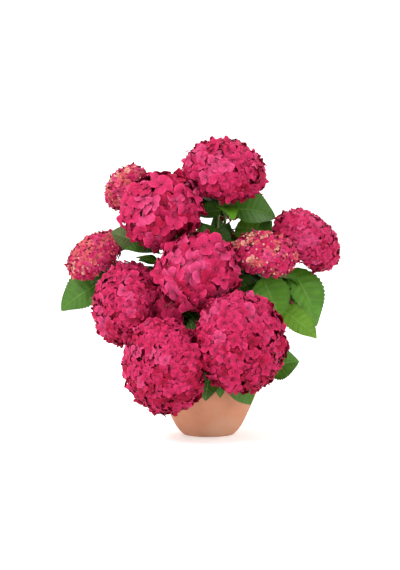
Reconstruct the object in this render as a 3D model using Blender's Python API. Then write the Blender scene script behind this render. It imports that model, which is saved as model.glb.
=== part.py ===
"""A mophead hydrangea in a low clay pot, in metres, +Z up.

The origin is the centre of the pot's flat underside, and -Y is the plant's front.
Nineteen canes rise from one woody stock in the soil. Each cane ends where it enters
its leafy shoot. Seventeen of the shoots carry a flower head each, and two low ones
carry leaves alone. Every cane, shoot and head is a solid of its own, and solids that
meet keep a gap of 0.3 mm.
"""

import math
import random
from collections import namedtuple

import bmesh
import bpy
from mathutils import Matrix, Vector
from mathutils.bvhtree import BVHTree

# ---------------------------------------------------------------- driving dimensions
GAP = 0.0003
SEED = 20
GOLDEN_ANGLE = math.pi * (3 - math.sqrt(5))
UP = Vector((0, 0, 1))

# The pot: a low, flaring bowl of fired clay with a thick rim band.
POT_HEIGHT = 0.142
POT_STEPS = 32
WALL = 0.009
FLOOR = 0.011
WALL_INTERCEPT = 0.0604
WALL_SLOPE = 0.4375
FOOT_TUCK = 0.010
FOOT_FADE = 0.012
FOOT_CROWDING = 1.5
OUTSIDE_RINGS = 7
INSIDE_RINGS = 4
RIM_BOTTOM = 0.106
RIM_STEP = 0.0045
RIM_ROUND = 0.004
RIM_FLARE = 0.1
SHARP_ANGLE = 35
SOIL_LEVEL = 0.120
SOIL_HEAP = ((0.085, 0.001), (0.066, 0.003), (0.046, 0.0))
SOIL_ROUGHNESS = (-0.0012, 0.0022)

# The woody stock that the canes rise from.
STOCK_RADIUS = 0.036
STOCK_HEIGHT = 0.022
STOCK_SIDES = 16
STOCK_LEVELS = 4
STOCK_SKIN = 0.94
STOCK_LUMP = 0.10
STOCK_ROUGHNESS = 0.02
STOCK_CLEARANCE = 0.004
STOCK_SINK = 0.006

# Canes and shoots.
CANE_SHARE = 0.42
CANE_RADIUS = 0.0042
SHOOT_RADIUS = 0.0031
TIP_RADIUS = 0.0024
CANE_SIDES = 5
SHOOT_SIDES = 5
CANE_RINGS = 5
SHOOT_RINGS = 7
HIGH_LEAN = 14
LOW_LEAN = 64
HIGH_HEAD = 0.53
LOW_HEAD = 0.15
FOOT_REACH = 1.12
FOOT_LIFT = 0.002
STUB_DEPTH = 0.010
STUB_SWELL = 1.25
LEAVING_LIFT = 0.8
LEAVING_LEVER = 0.42
ENTERING_LIFT = 0.7
ENTERING_LEVER = 0.34
WAY_STEP = 0.004
NECK = 0.012
COLLAR_DEPTH = 0.8
STALK_DEPTH = 0.2
STALK_BEND = 0.3
STALK_SWELL = (1, 1.2, 1.6)

# Leaves.
BLADE_STATIONS = (0.26, 0.66)
BLADE_THICKNESS = 0.015
BLADE_FOLD = 16
BLADE_CAMBER = 0.09
BLADE_RATIO = 0.66
BLADE_BELLY = 0.72
BLADE_ROUNDNESS = 0.85
PETIOLE_RADIUS = 0.0017
PETIOLE_RATIO = 0.26
PETIOLE_OVERLAP = 0.16
PETIOLE_START = 0.0006
PETIOLE_SINK = 0.0007
PETIOLE_TAPER = (1.1, 0.9, 0.5)
PETIOLE_SIDES = 3
LOWEST_LEAF = CANE_SHARE + 0.04
HIGHEST_LEAF = 0.97
PAIR_SPACING = 0.038
FIRST_PAIR = 0.4
PAIR_WANDER = 0.2
DROOP = (0.1, 0.7)
TOP_LEAF = 0.080
LEAF_GROWTH = 0.010
LEAF_CLEARANCE = 0.0012
HEAD_CLEARANCE = 0.002
RIM_CLEARANCE = 0.006
ASIDES = (0, 20, -20, 40, -40, 65, -65, 90, -90, 120, -120)
SIZES = (1, 0.84, 0.7)
OUTLINE_SHARE = 0.94

# Where the plant's outline is judged from: a point in front of it, a little above.
VIEW_POINT = Vector((-0.017, -2.996, 0.456))

# Flower heads. Heading is the compass direction that a head faces, from +X towards +Y,
# and pitch is how far it looks up. A head is a spheroid: radius is across, depth is half
# its thickness along the way that it faces.
Head = namedtuple("Head", "name centre heading pitch radius depth age")
Age = namedtuple("Age", "floret cover stand skirt colour")
AGES = {
    "open": Age(floret=0.029, cover=126, stand=0.012, skirt=1.05, colour=(0.78, 0.05, 0.24)),
    "young": Age(floret=0.021, cover=104, stand=0.008, skirt=1.25, colour=(0.80, 0.16, 0.24)),
}
FLORET_SPACING = 1.80
FLORET_TILT = 0.10
FLORET_SIZES = (0.92, 1.08)
FLORET_SINK = 0.004
FLORET_MARGIN = 0.8
CORE_CORNERS = 1.12
CORE_UNDERSIDE = 0.72
SPACE_UNDERSIDE = 0.85
ROOT_DEPTH = 0.014
HEADS = (
    Head("top", (0.032, 0.000, 0.526), -60, 72, 0.087, 0.068, "open"),
    Head("upper_left", (-0.094, -0.050, 0.448), -112, 30, 0.086, 0.072, "open"),
    Head("outer_upper_left", (-0.165, 0.060, 0.493), 165, 42, 0.054, 0.042, "young"),
    Head("left", (-0.229, 0.045, 0.356), -150, 52, 0.067, 0.042, "young"),
    Head("middle", (-0.022, -0.112, 0.331), -88, 26, 0.086, 0.068, "open"),
    Head("lower_left", (-0.163, -0.050, 0.265), -150, 12, 0.088, 0.064, "open"),
    Head("front_left", (-0.086, -0.160, 0.153), -130, -4, 0.096, 0.060, "open"),
    Head("front_right", (0.061, -0.166, 0.199), -62, 6, 0.099, 0.061, "open"),
    Head("right_young", (0.110, -0.062, 0.362), -75, 66, 0.068, 0.044, "young"),
    Head("right", (0.199, 0.030, 0.387), -15, 50, 0.079, 0.055, "open"),
    Head("back_top", (0.042, 0.135, 0.483), 80, 50, 0.066, 0.054, "open"),
    Head("back_left", (-0.088, 0.120, 0.425), 110, 35, 0.066, 0.055, "open"),
    Head("back_middle", (-0.056, 0.150, 0.278), 98, 14, 0.070, 0.056, "open"),
    Head("back_right", (0.085, 0.150, 0.205), 62, 5, 0.072, 0.056, "open"),
    Head("back_low", (-0.112, 0.140, 0.168), 132, 0, 0.068, 0.054, "open"),
    Head("back_upper", (0.050, 0.150, 0.345), 75, 30, 0.062, 0.050, "open"),
    Head("back_outer_right", (0.150, 0.115, 0.285), 30, 30, 0.052, 0.040, "young"),
    Head("low_front", (0.010, -0.118, 0.166), -85, 0, 0, 0, None),
    Head("low_right", (0.104, -0.046, 0.172), -22, 12, 0, 0, None),
)
BLOOMS = [head for head in HEADS if head.age]


# Leaves that reach out past the heads: the shoot each grows on, where its blade starts and
# ends, its width, and the way that its upper face looks.
Reach = namedtuple("Reach", "shoot base tip width face")
REACHING_LEAVES = (
    Reach("left", (-0.215, 0.090, 0.300), (-0.304, 0.090, 0.240), 0.092, (-0.2, -0.8, 0.55)),
    Reach("outer_upper_left", (-0.146, 0.015, 0.384), (-0.196, 0.015, 0.404), 0.052, (-0.1, -0.85, 0.4)),
    Reach("upper_left", (-0.097, 0.015, 0.360), (-0.164, 0.015, 0.372), 0.038, (0, -0.45, 0.9)),
    Reach("upper_left", (-0.106, 0.020, 0.340), (-0.148, 0.020, 0.352), 0.028, (0, -0.4, 1)),
    Reach("top", (0.048, 0.045, 0.450), (0.138, 0.060, 0.434), 0.090, (0.1, -0.75, 0.6)),
    Reach("top", (0.024, 0.002, 0.447), (-0.022, 0.004, 0.437), 0.044, (0, -0.8, 0.6)),
    Reach("top", (0.005, 0.025, 0.382), (-0.021, 0.025, 0.426), 0.034, (-0.2, -0.8, 0.3)),
    Reach("top", (0.011, 0.020, 0.408), (0.045, 0.020, 0.370), 0.038, (0.2, -0.9, 0.3)),
    Reach("back_top", (0.053, 0.085, 0.399), (0.137, 0.085, 0.405), 0.066, (-0.1, -0.8, 0.5)),
    Reach("right_young", (0.105, -0.050, 0.315), (0.142, -0.050, 0.230), 0.080, (-0.1, -0.85, 0.5)),
    Reach("right_young", (0.093, -0.040, 0.307), (0.050, -0.040, 0.287), 0.042, (-0.1, -0.85, 0.5)),
    Reach("right", (0.167, 0.050, 0.330), (0.223, 0.050, 0.212), 0.080, (0.3, -0.8, 0.5)),
    Reach("right", (0.143, 0.020, 0.250), (0.219, 0.015, 0.190), 0.058, (0, -0.85, 0.5)),
    Reach("low_right", (0.112, -0.062, 0.140), (0.178, -0.062, 0.152), 0.074, (0.1, -0.85, 0.4)),
    Reach("low_front", (0.033, -0.115, 0.146), (0.080, -0.101, 0.071), 0.080, (0.4, -0.85, 0.35)),
    Reach("low_front", (0.006, -0.120, 0.149), (-0.007, -0.120, 0.081), 0.052, (-0.2, -0.9, 0.3)),
    Reach("low_front", (-0.023, -0.100, 0.183), (-0.036, -0.100, 0.240), 0.036, (-0.3, -0.85, 0.2)),
    Reach("top", (-0.005, 0.070, 0.460), (-0.040, 0.090, 0.514), 0.040, (-0.2, -0.85, 0.2)),
    Reach("middle", (-0.021, -0.045, 0.236), (-0.055, -0.045, 0.246), 0.036, (0, -0.7, 0.7)),
)


# ---------------------------------------------------------------- small tools
def clear_scene():
    for item in list(bpy.data.objects):
        bpy.data.objects.remove(item, do_unlink=True)


def material(name, colour, roughness):
    """A plain Principled finish, made once for each name."""
    found = bpy.data.materials.get(name)
    if found:
        return found
    made = bpy.data.materials.new(name)
    made.use_nodes = True
    shader = made.node_tree.nodes["Principled BSDF"]
    shader.inputs["Base Color"].default_value = (*colour, 1)
    shader.inputs["Roughness"].default_value = roughness
    shader.inputs["Metallic"].default_value = 0
    return made


def object_from(bm, name, finish=None):
    """Turns a bmesh into an object in the scene, with its faces pointing out."""
    bmesh.ops.recalc_face_normals(bm, faces=bm.faces)
    mesh = bpy.data.meshes.new(name)
    bm.to_mesh(mesh)
    bm.free()
    made = bpy.data.objects.new(name, mesh)
    if finish:
        mesh.materials.append(finish)
    bpy.context.scene.collection.objects.link(made)
    return made


def facing(heading, pitch):
    """The unit vector with this compass heading and upward pitch, in degrees."""
    level = math.cos(math.radians(pitch))
    turn = math.radians(heading)
    return Vector((level * math.cos(turn), level * math.sin(turn), math.sin(math.radians(pitch))))


def frame_along(axis):
    """Two unit vectors square to the axis and to each other."""
    first = axis.orthogonal().normalized()
    return first, axis.cross(first).normalized()


def fuse(pieces, name, finish):
    """Joins closed pieces into the first by one Boolean union, and removes the others."""
    if len(pieces) == 1:
        pieces[0].name = name
        pieces[0].data.materials.append(finish)
        return pieces[0]
    group = bpy.data.collections.new(name + "_pieces")
    body = pieces[0]
    for piece in pieces[1:]:
        bpy.context.scene.collection.objects.unlink(piece)
        group.objects.link(piece)
    join = body.modifiers.new("Join", "BOOLEAN")
    join.operation = "UNION"
    join.operand_type = "COLLECTION"
    join.collection = group
    bpy.context.scene.collection.children.link(group)
    bpy.context.view_layer.update()
    graph = bpy.context.evaluated_depsgraph_get()
    mesh = bpy.data.meshes.new_from_object(body.evaluated_get(graph))
    for piece in pieces:
        bpy.data.objects.remove(piece, do_unlink=True)
    bpy.data.collections.remove(group)
    mesh.name = name
    mesh.materials.clear()
    mesh.materials.append(finish)
    fused = bpy.data.objects.new(name, mesh)
    bpy.context.scene.collection.objects.link(fused)
    return fused


def tree_of(bm):
    tree = BVHTree.FromBMesh(bm)
    bm.free()
    return tree


def limb_bmesh(points, ways, radii, sides):
    """A tapering limb with flat ends: at each point, a ring square to the limb's way there."""
    bm = bmesh.new()
    rings = []
    side = frame_along(ways[0])[0]
    for point, along, radius in zip(points, ways, radii):
        side = (side - along * side.dot(along)).normalized()
        other = along.cross(side)
        ring = []
        for k in range(sides):
            turn = math.tau * k / sides
            ring.append(bm.verts.new(point + (side * math.cos(turn) + other * math.sin(turn)) * radius))
        rings.append(ring)
    for lower, upper in zip(rings, rings[1:]):
        for k in range(sides):
            after = (k + 1) % sides
            bm.faces.new((lower[k], lower[after], upper[after], upper[k]))
    bm.faces.new(rings[0][::-1])
    bm.faces.new(rings[-1])
    return bm


# ---------------------------------------------------------------- pot and soil
def wall_radius(z):
    """The outside of the pot's wall: a straight flare that tucks in at the foot."""
    return WALL_INTERCEPT + WALL_SLOPE * z - FOOT_TUCK * math.exp(-z / FOOT_FADE)


def inner_radius(z):
    return wall_radius(z) - WALL


def turned(profile, name, finish):
    """Spins a profile of (radius, height) points round Z into a closed solid."""
    bm = bmesh.new()
    chain = [bm.verts.new((radius, 0, height)) for radius, height in profile]
    for first, second in zip(chain, chain[1:]):
        bm.edges.new((first, second))
    bmesh.ops.spin(
        bm,
        geom=bm.verts[:] + bm.edges[:],
        cent=(0, 0, 0),
        axis=(0, 0, 1),
        angle=math.tau,
        steps=POT_STEPS,
        use_merge=True,
    )
    bmesh.ops.remove_doubles(bm, verts=bm.verts, dist=1e-5)
    made = object_from(bm, name, finish)
    made.data.shade_smooth()
    made.data.set_sharp_from_angle(angle=math.radians(SHARP_ANGLE))
    return made


def wall_heights(low, high, count):
    """Heights for rings on the wall, closer together towards the foot."""
    return [low + (high - low) * (i / (count - 1)) ** FOOT_CROWDING for i in range(count)]


def make_pot():
    outside = [(wall_radius(z), z) for z in wall_heights(0, RIM_BOTTOM, OUTSIDE_RINGS)]
    band = wall_radius(RIM_BOTTOM) + RIM_STEP
    top = band + RIM_FLARE * (POT_HEIGHT - RIM_BOTTOM)
    rim = [
        (band, RIM_BOTTOM + RIM_STEP / 2),
        (top, POT_HEIGHT - RIM_ROUND),
        (top - RIM_ROUND / 3, POT_HEIGHT - RIM_ROUND / 3),
        (top - RIM_ROUND, POT_HEIGHT),
        (inner_radius(SOIL_LEVEL) + RIM_ROUND, POT_HEIGHT),
        (inner_radius(SOIL_LEVEL) + RIM_ROUND / 3, POT_HEIGHT - RIM_ROUND),
    ]
    inside = [(inner_radius(z), z) for z in wall_heights(FLOOR, SOIL_LEVEL, INSIDE_RINGS)[::-1]]
    profile = [(0, 0)] + outside + rim + inside + [(0, FLOOR)]
    return turned(profile, "pot", material("clay", (0.62, 0.30, 0.17), 0.85))


def make_soil():
    """Potting soil fills the pot to below its rim, level in the middle and uneven outside."""
    heights = wall_heights(FLOOR, SOIL_LEVEL, INSIDE_RINGS)
    side = [(inner_radius(z) - GAP, z + GAP) for z in heights]
    heap = [(radius, SOIL_LEVEL + height) for radius, height in SOIL_HEAP]
    profile = [(0, FLOOR + GAP)] + side + heap + [(0, SOIL_LEVEL)]
    soil = turned(profile, "soil", material("soil", (0.07, 0.045, 0.03), 0.95))
    rng = random.Random(SEED)
    inner, outer = SOIL_HEAP[-1][0] + 0.001, SOIL_HEAP[0][0] + 0.001
    for vertex in soil.data.vertices:
        reach = Vector(vertex.co.xy).length
        if vertex.co.z > SOIL_LEVEL - 0.001 and inner < reach < outer:
            vertex.co.z += rng.uniform(*SOIL_ROUGHNESS)
    return soil


def dome_bmesh():
    """The stock's dome: flat below, rounded and lumpy above."""
    bm = bmesh.new()
    base = SOIL_LEVEL + GAP
    rings = []
    rng = random.Random(SEED + 1)
    for level in range(STOCK_LEVELS):
        lift = math.radians(90 * level / STOCK_LEVELS)
        ring = []
        for k in range(STOCK_SIDES):
            turn = math.tau * k / STOCK_SIDES
            lump = STOCK_LUMP * math.sin(3 * turn) * math.cos(lift)
            rough = rng.uniform(-STOCK_ROUGHNESS, STOCK_ROUGHNESS)
            reach = STOCK_RADIUS * STOCK_SKIN * math.cos(lift) * (1 + lump + rough)
            height = base + STOCK_HEIGHT * STOCK_SKIN * math.sin(lift)
            ring.append(bm.verts.new((reach * math.cos(turn), reach * math.sin(turn), height)))
        rings.append(ring)
    for lower, upper in zip(rings, rings[1:]):
        for k in range(STOCK_SIDES):
            after = (k + 1) % STOCK_SIDES
            bm.faces.new((lower[k], lower[after], upper[after], upper[k]))
    peak = bm.verts.new((0, 0, base + STOCK_HEIGHT * STOCK_SKIN))
    for k in range(STOCK_SIDES):
        bm.faces.new((rings[-1][k], rings[-1][(k + 1) % STOCK_SIDES], peak))
    bm.faces.new(rings[0][::-1])
    return bm


def stub_bmesh(head):
    """The old wood under a cane: from inside the dome to a flat end just short of the cane."""
    way = stem_way(head, 0)
    end = stem_foot(head)[0] - way * GAP
    inside = end - way * STUB_DEPTH
    return limb_bmesh([inside, end], [way, way], [CANE_RADIUS * STUB_SWELL] * 2, CANE_SIDES)


def make_stock():
    """The low woody stock, with a stub for every cane."""
    solids = [dome_bmesh()] + [stub_bmesh(head) for head in HEADS]
    pieces = [object_from(bm, f"piece_{i}") for i, bm in enumerate(solids)]
    return fuse(pieces, "stock", material("old_wood", (0.24, 0.16, 0.10), 0.9))


# ---------------------------------------------------------------- stems
def head_axis(head):
    return facing(head.heading, head.pitch)


def collar_of(head):
    """Where the shoot ends and the head's own stalk begins, under the head."""
    return Vector(head.centre) - head_axis(head) * (head.depth * COLLAR_DEPTH + NECK)


def stem_foot(head):
    """A point just clear of the stock's dome and the way that the cane leaves it."""
    out = Vector((head.centre[0], head.centre[1], 0))
    low = min(1.0, max(0.0, (HIGH_HEAD - head.centre[2]) / (HIGH_HEAD - LOW_HEAD)))
    lean = math.radians(HIGH_LEAN + (LOW_LEAN - HIGH_LEAN) * low)
    turn = math.atan2(out.y, out.x)
    way = Vector((math.sin(lean) * math.cos(turn), math.sin(lean) * math.sin(turn), math.cos(lean)))
    skin = Vector((way.x * STOCK_RADIUS, way.y * STOCK_RADIUS, way.z * STOCK_HEIGHT))
    return UP * SOIL_LEVEL + skin * FOOT_REACH + way * FOOT_LIFT, way


def stem_point(head, share):
    """A point on the head's whole stem: a cubic curve from the stock to the collar."""
    foot, way = stem_foot(head)
    end = collar_of(head)
    span = (end - foot).length
    way = (way + UP * LEAVING_LIFT).normalized()
    lean_out = foot + way * span * LEAVING_LEVER
    enter = end - (head_axis(head) + UP * ENTERING_LIFT).normalized() * span * ENTERING_LEVER
    rest = 1 - share
    return (
        foot * rest**3
        + lean_out * 3 * rest * rest * share
        + enter * 3 * rest * share * share
        + end * share**3
    )


def stem_path(head, start, end, count):
    return [stem_point(head, start + (end - start) * i / (count - 1)) for i in range(count)]


def stem_way(head, share):
    """The unit vector that the stem runs along at a share of its length."""
    return (stem_point(head, share + WAY_STEP) - stem_point(head, share - WAY_STEP)).normalized()


def stem_piece(head, start, end, radii, sides):
    """The stem from one share to another, its far end drawn back by the gap."""
    count = len(radii)
    ways = [stem_way(head, start + (end - start) * i / (count - 1)) for i in range(count)]
    path = stem_path(head, start, end, count)
    path[-1] -= ways[-1] * GAP
    return limb_bmesh(path, ways, radii, sides)


def tapering(first, last, count):
    return [first + (last - first) * i / (count - 1) for i in range(count)]


def cane_bmesh(head):
    radii = tapering(CANE_RADIUS, SHOOT_RADIUS, CANE_RINGS)
    return stem_piece(head, 0, CANE_SHARE, radii, CANE_SIDES)


def shoot_stem_bmesh(head):
    radii = tapering(SHOOT_RADIUS, TIP_RADIUS, SHOOT_RINGS)
    return stem_piece(head, CANE_SHARE, 1, radii, SHOOT_SIDES)


# ---------------------------------------------------------------- heads
def in_head(point, head, margin):
    """Whether a point is inside the head's spheroid, grown by a margin."""
    axis = head_axis(head)
    offset = point - Vector(head.centre)
    along = offset.dot(axis)
    across = (offset - axis * along).length
    return (along / (head.depth + margin)) ** 2 + (across / (head.radius + margin)) ** 2 < 1


def core_bmesh(head, age):
    """The head's core: a spheroid of few faces, flatter below."""
    axis = head_axis(head)
    first, second = frame_along(axis)
    bm = bmesh.new()
    bmesh.ops.create_icosphere(bm, subdivisions=1, radius=1)
    across = (head.radius - age.stand) * CORE_CORNERS
    along = (head.depth - age.stand) * CORE_CORNERS
    for vertex in bm.verts:
        x, y, z = vertex.co
        under = CORE_UNDERSIDE if z < 0 else 1
        spot = (first * x + second * y) * across + axis * z * along * under
        vertex.co = Vector(head.centre) + spot
    return bm


def stalk_bmesh(head):
    """The head's stalk, from the shoot's end to inside the core."""
    axis = head_axis(head)
    collar = collar_of(head)
    inside = Vector(head.centre) - axis * head.depth * STALK_DEPTH
    points = [collar, collar.lerp(inside, STALK_BEND), inside]
    radii = [TIP_RADIUS * swell for swell in STALK_SWELL]
    return limb_bmesh(points, [stem_way(head, 1), axis, axis], radii, SHOOT_SIDES)


def floret_count(head, age):
    """How many florets tile the part of the head that they cover."""
    shape = (head.radius + head.depth) / 2
    cap = math.tau * shape * shape * (1 - math.cos(math.radians(age.cover)))
    return round(cap / (FLORET_SPACING * age.floret) ** 2)


def floret_bmesh(centre, outward, radius, roll, bend, root):
    """A four-sepalled floret: a face with four tips, narrowing to a sunk root."""
    first, second = frame_along(outward)
    bm = bmesh.new()
    tips = []
    for k in range(4):
        turn = roll + math.tau * k / 4
        way = first * math.cos(turn) + second * math.sin(turn)
        tips.append(bm.verts.new(centre + way * radius - outward * bend))
    foot = bm.verts.new(centre - outward * root)
    bm.faces.new(tips)
    for k in range(4):
        bm.faces.new((foot, tips[(k + 1) % 4], tips[k]))
    return bm


def head_florets(head):
    """One head's floret solids, by a spiral rule. One that would reach a neighbour is left out."""
    age = AGES[head.age]
    axis = head_axis(head)
    first, second = frame_along(axis)
    rng = random.Random(head.name)
    count = floret_count(head, age)
    lowest = math.cos(math.radians(age.cover))
    florets = []
    for k in range(count):
        level = 1 - (1 - lowest) * (k + 0.5) / count
        ring = math.sqrt(1 - level * level)
        turn = k * GOLDEN_ANGLE
        way = first * ring * math.cos(turn) + second * ring * math.sin(turn)
        point = Vector(head.centre) + way * head.radius + axis * level * head.depth
        outward = (way / head.radius + axis * level / head.depth).normalized()
        size = age.floret * rng.uniform(*FLORET_SIZES)
        tilt = first * rng.uniform(-FLORET_TILT, FLORET_TILT)
        tilt += second * rng.uniform(-FLORET_TILT, FLORET_TILT)
        lean = (outward + tilt).normalized()
        point -= outward * rng.uniform(0, FLORET_SINK)
        bend = size * size / (2 * head.depth)
        roll = rng.uniform(0, math.tau)
        margin = size * FLORET_MARGIN
        if not any(in_head(point, other, margin) for other in BLOOMS if other is not head):
            florets.append(floret_bmesh(point, lean, size, roll, bend, age.stand + ROOT_DEPTH))
    return florets


def make_head(head):
    age = AGES[head.age]
    finish = material("sepals_" + head.age, age.colour, 0.6)
    solids = [core_bmesh(head, age), stalk_bmesh(head)] + head_florets(head)
    pieces = [object_from(bm, f"piece_{i}") for i, bm in enumerate(solids)]
    return fuse(pieces, "head_" + head.name, finish)


# ---------------------------------------------------------------- leaves
Leaf = namedtuple("Leaf", "root base tip width face")


def blade_frame(leaf):
    """The blade's length, the way it runs, the way across it and the way its face looks."""
    chord = leaf.tip - leaf.base
    along = chord.normalized()
    normal = (leaf.face - along * leaf.face.dot(along)).normalized()
    return chord.length, along, normal.cross(along), normal


def half_width(leaf, share):
    """Half of an ovate blade's width, at a share of its length."""
    return leaf.width / 2 * math.sin(math.pi * share**BLADE_BELLY) ** BLADE_ROUNDNESS


def midrib_point(leaf, share):
    length, along, _, normal = blade_frame(leaf)
    arch = 4 * BLADE_CAMBER * length * share * (1 - share)
    return leaf.base + along * length * share + normal * arch


def blade_bmesh(leaf, extra=0):
    """A thin folded blade that arches from its base to its tip."""
    length, _, across, normal = blade_frame(leaf)
    fold = math.radians(BLADE_FOLD)
    depth = normal * (BLADE_THICKNESS * length + extra)
    bm = bmesh.new()
    rows = []
    for share in BLADE_STATIONS:
        middle = midrib_point(leaf, share)
        out = half_width(leaf, share) + extra
        rise = normal * out * math.sin(fold)
        aside = across * out * math.cos(fold)
        corners = (middle + aside + rise, middle, middle - aside + rise, middle - depth)
        rows.append([bm.verts.new(corner) for corner in corners])
    for row, point in ((rows[0], bm.verts.new(leaf.base)), (rows[-1], bm.verts.new(leaf.tip))):
        for k in range(4):
            bm.faces.new((row[k], row[(k + 1) % 4], point))
    for near, far in zip(rows, rows[1:]):
        for k in range(4):
            after = (k + 1) % 4
            bm.faces.new((near[k], near[after], far[after], far[k]))
    bmesh.ops.recalc_face_normals(bm, faces=bm.faces)
    return bm


def petiole_bmesh(leaf):
    """The leaf's stalk, from inside its stem to inside the blade's base."""
    _, _, _, normal = blade_frame(leaf)
    neck = leaf.base - normal * PETIOLE_SINK
    hold = midrib_point(leaf, PETIOLE_OVERLAP) - normal * PETIOLE_SINK
    start = leaf.root + (leaf.base - leaf.root).normalized() * PETIOLE_START
    ways = [(neck - start).normalized(), (hold - start).normalized(), (hold - neck).normalized()]
    radii = [PETIOLE_RADIUS * size for size in PETIOLE_TAPER]
    return limb_bmesh([start, neck, hold], ways, radii, PETIOLE_SIDES)


def as_seen(point):
    """Where a point appears on the upright plane through the origin, from the view point."""
    share = VIEW_POINT.y / (VIEW_POINT.y - point.y)
    return VIEW_POINT.lerp(point, share)


def behind_heads(point):
    """Whether a point lies inside the outline that the heads make as seen from the front."""
    spot = as_seen(point)
    for head in BLOOMS:
        axis = head_axis(head)
        centre = Vector(head.centre)
        x, z = spot.x - as_seen(centre).x, spot.z - as_seen(centre).z
        wide = head.radius**2
        change = head.depth**2 - wide
        xx = wide + change * axis.x**2
        zz = wide + change * axis.z**2
        xz = change * axis.x * axis.z
        if x * x * zz - 2 * x * z * xz + z * z * xx < OUTLINE_SHARE * (xx * zz - xz * xz):
            return True
    return False


def head_space_bmesh(head):
    """The space that a head fills: its spheroid, with fuller sides and a flatter underside."""
    axis = head_axis(head)
    first, second = frame_along(axis)
    bm = bmesh.new()
    bmesh.ops.create_icosphere(bm, subdivisions=3, radius=1)
    for vertex in bm.verts:
        x, y, z = vertex.co
        fuller = 1 if z > 0 else min(AGES[head.age].skirt, 1 / max(0.01, math.hypot(x, y)))
        across = (first * x + second * y) * (head.radius + HEAD_CLEARANCE) * fuller
        up = axis * max(z, -SPACE_UNDERSIDE) * (head.depth + HEAD_CLEARANCE)
        vertex.co = Vector(head.centre) + across + up
    return bm


def pot_space_bmesh():
    """The space of the pot and its soil, a little larger than they are."""
    bm = bmesh.new()
    bmesh.ops.create_cone(
        bm,
        cap_ends=True,
        segments=POT_STEPS,
        radius1=wall_radius(0),
        radius2=wall_radius(RIM_BOTTOM) + RIM_STEP + RIM_CLEARANCE,
        depth=POT_HEIGHT + 0.002,
        matrix=Matrix.Translation((0, 0, POT_HEIGHT / 2 + 0.001)),
    )
    return bm


def stock_space_bmesh():
    """The space of the stock and its stubs, a little larger than they are."""
    bm = bmesh.new()
    bmesh.ops.create_icosphere(bm, subdivisions=2, radius=STOCK_RADIUS + STOCK_CLEARANCE)
    bmesh.ops.translate(bm, verts=bm.verts, vec=(0, 0, SOIL_LEVEL - STOCK_SINK))
    return bm


class Growth:
    """What is in the way of a new leaf, and the leaves that each shoot has so far."""

    def __init__(self):
        self.blocks = [("pot", tree_of(pot_space_bmesh())), ("stock", tree_of(stock_space_bmesh()))]
        for head in HEADS:
            self.blocks.append(("cane_" + head.name, tree_of(cane_bmesh(head))))
            self.blocks.append((head.name, tree_of(shoot_stem_bmesh(head))))
        for head in BLOOMS:
            for solid in [head_space_bmesh(head)] + head_florets(head):
                self.blocks.append(("head_" + head.name, tree_of(solid)))
        self.leaves = {head.name: [] for head in HEADS}

    def blocked(self, leaf, shoot):
        """Whether the leaf would touch anything but its own stem and that stem's leaf stalks."""
        trees = [tree_of(blade_bmesh(leaf, LEAF_CLEARANCE)), tree_of(petiole_bmesh(leaf))]
        return any(
            name != shoot and any(tree.overlap(block) for tree in trees)
            for name, block in self.blocks
        )

    def add(self, leaf, shoot):
        self.leaves[shoot].append(leaf)
        self.blocks.append(("leaf of " + shoot, tree_of(blade_bmesh(leaf))))
        self.blocks.append((shoot, tree_of(petiole_bmesh(leaf))))


def grow_reaching_leaves(growth):
    """The leaves of the table, each on the nearest point of its shoot."""
    heads = {head.name: head for head in HEADS}
    for reach in REACHING_LEAVES:
        base = Vector(reach.base)
        path = stem_path(heads[reach.shoot], LOWEST_LEAF, HIGHEST_LEAF, 40)
        root = min(path, key=lambda point: (point - base).length)
        leaf = Leaf(root, base, Vector(reach.tip), reach.width, Vector(reach.face))
        if not growth.blocked(leaf, reach.shoot):
            growth.add(leaf, reach.shoot)


def pair_leaf(head, share, turn, length, droop):
    """One leaf of a pair: it leaves the stem outwards and up, and its blade sinks to its tip."""
    root = stem_point(head, share)
    up_stem = (stem_point(head, share + 0.01) - root).normalized()
    first, second = frame_along(up_stem)
    out = first * math.cos(turn) + second * math.sin(turn)
    rise = (out * 0.85 + up_stem * 0.4 + UP * 0.15).normalized()
    base = root + rise * PETIOLE_RATIO * length
    way = (out + up_stem * 0.25 - UP * droop).normalized()
    return Leaf(root, base, base + way * length, length * BLADE_RATIO, UP)


def leaf_outline(leaf):
    across = blade_frame(leaf)[2] * leaf.width / 2
    middle = midrib_point(leaf, 0.45)
    return [leaf.base, leaf.tip, middle, middle + across, middle - across]


def place_leaf(growth, head, share, turn, length, droop):
    """Tries the leaf as it is, then turned aside or smaller. Past that there is no leaf."""
    for size in SIZES:
        for aside in ASIDES:
            leaf = pair_leaf(head, share, turn + math.radians(aside), length * size, droop)
            hidden = all(behind_heads(point) for point in leaf_outline(leaf))
            if hidden and not growth.blocked(leaf, head.name):
                growth.add(leaf, head.name)
                return


def grow_pairs(growth):
    """Crossed pairs of leaves down each shoot, larger lower down, wherever there is room."""
    for head in HEADS:
        rng = random.Random("pairs " + head.name)
        path = stem_path(head, 0, 1, 20)
        step = PAIR_SPACING / sum((after - before).length for before, after in zip(path, path[1:]))
        share = 1 - step * FIRST_PAIR
        turn = rng.uniform(0, math.tau)
        length = TOP_LEAF
        while share > LOWEST_LEAF:
            for side in (0, math.pi):
                place_leaf(growth, head, share, turn + side, length, rng.uniform(*DROOP))
            share -= step
            turn += math.pi / 2 + rng.uniform(-PAIR_WANDER, PAIR_WANDER)
            length += LEAF_GROWTH


def make_shoot(head, leaves):
    """A leafy shoot: its stem with every leaf fused on."""
    solids = [shoot_stem_bmesh(head)]
    for leaf in leaves:
        solids += [petiole_bmesh(leaf), blade_bmesh(leaf)]
    pieces = [object_from(bm, f"piece_{i}") for i, bm in enumerate(solids)]
    return fuse(pieces, "shoot_" + head.name, material("leaf", (0.09, 0.25, 0.05), 0.5))


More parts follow.
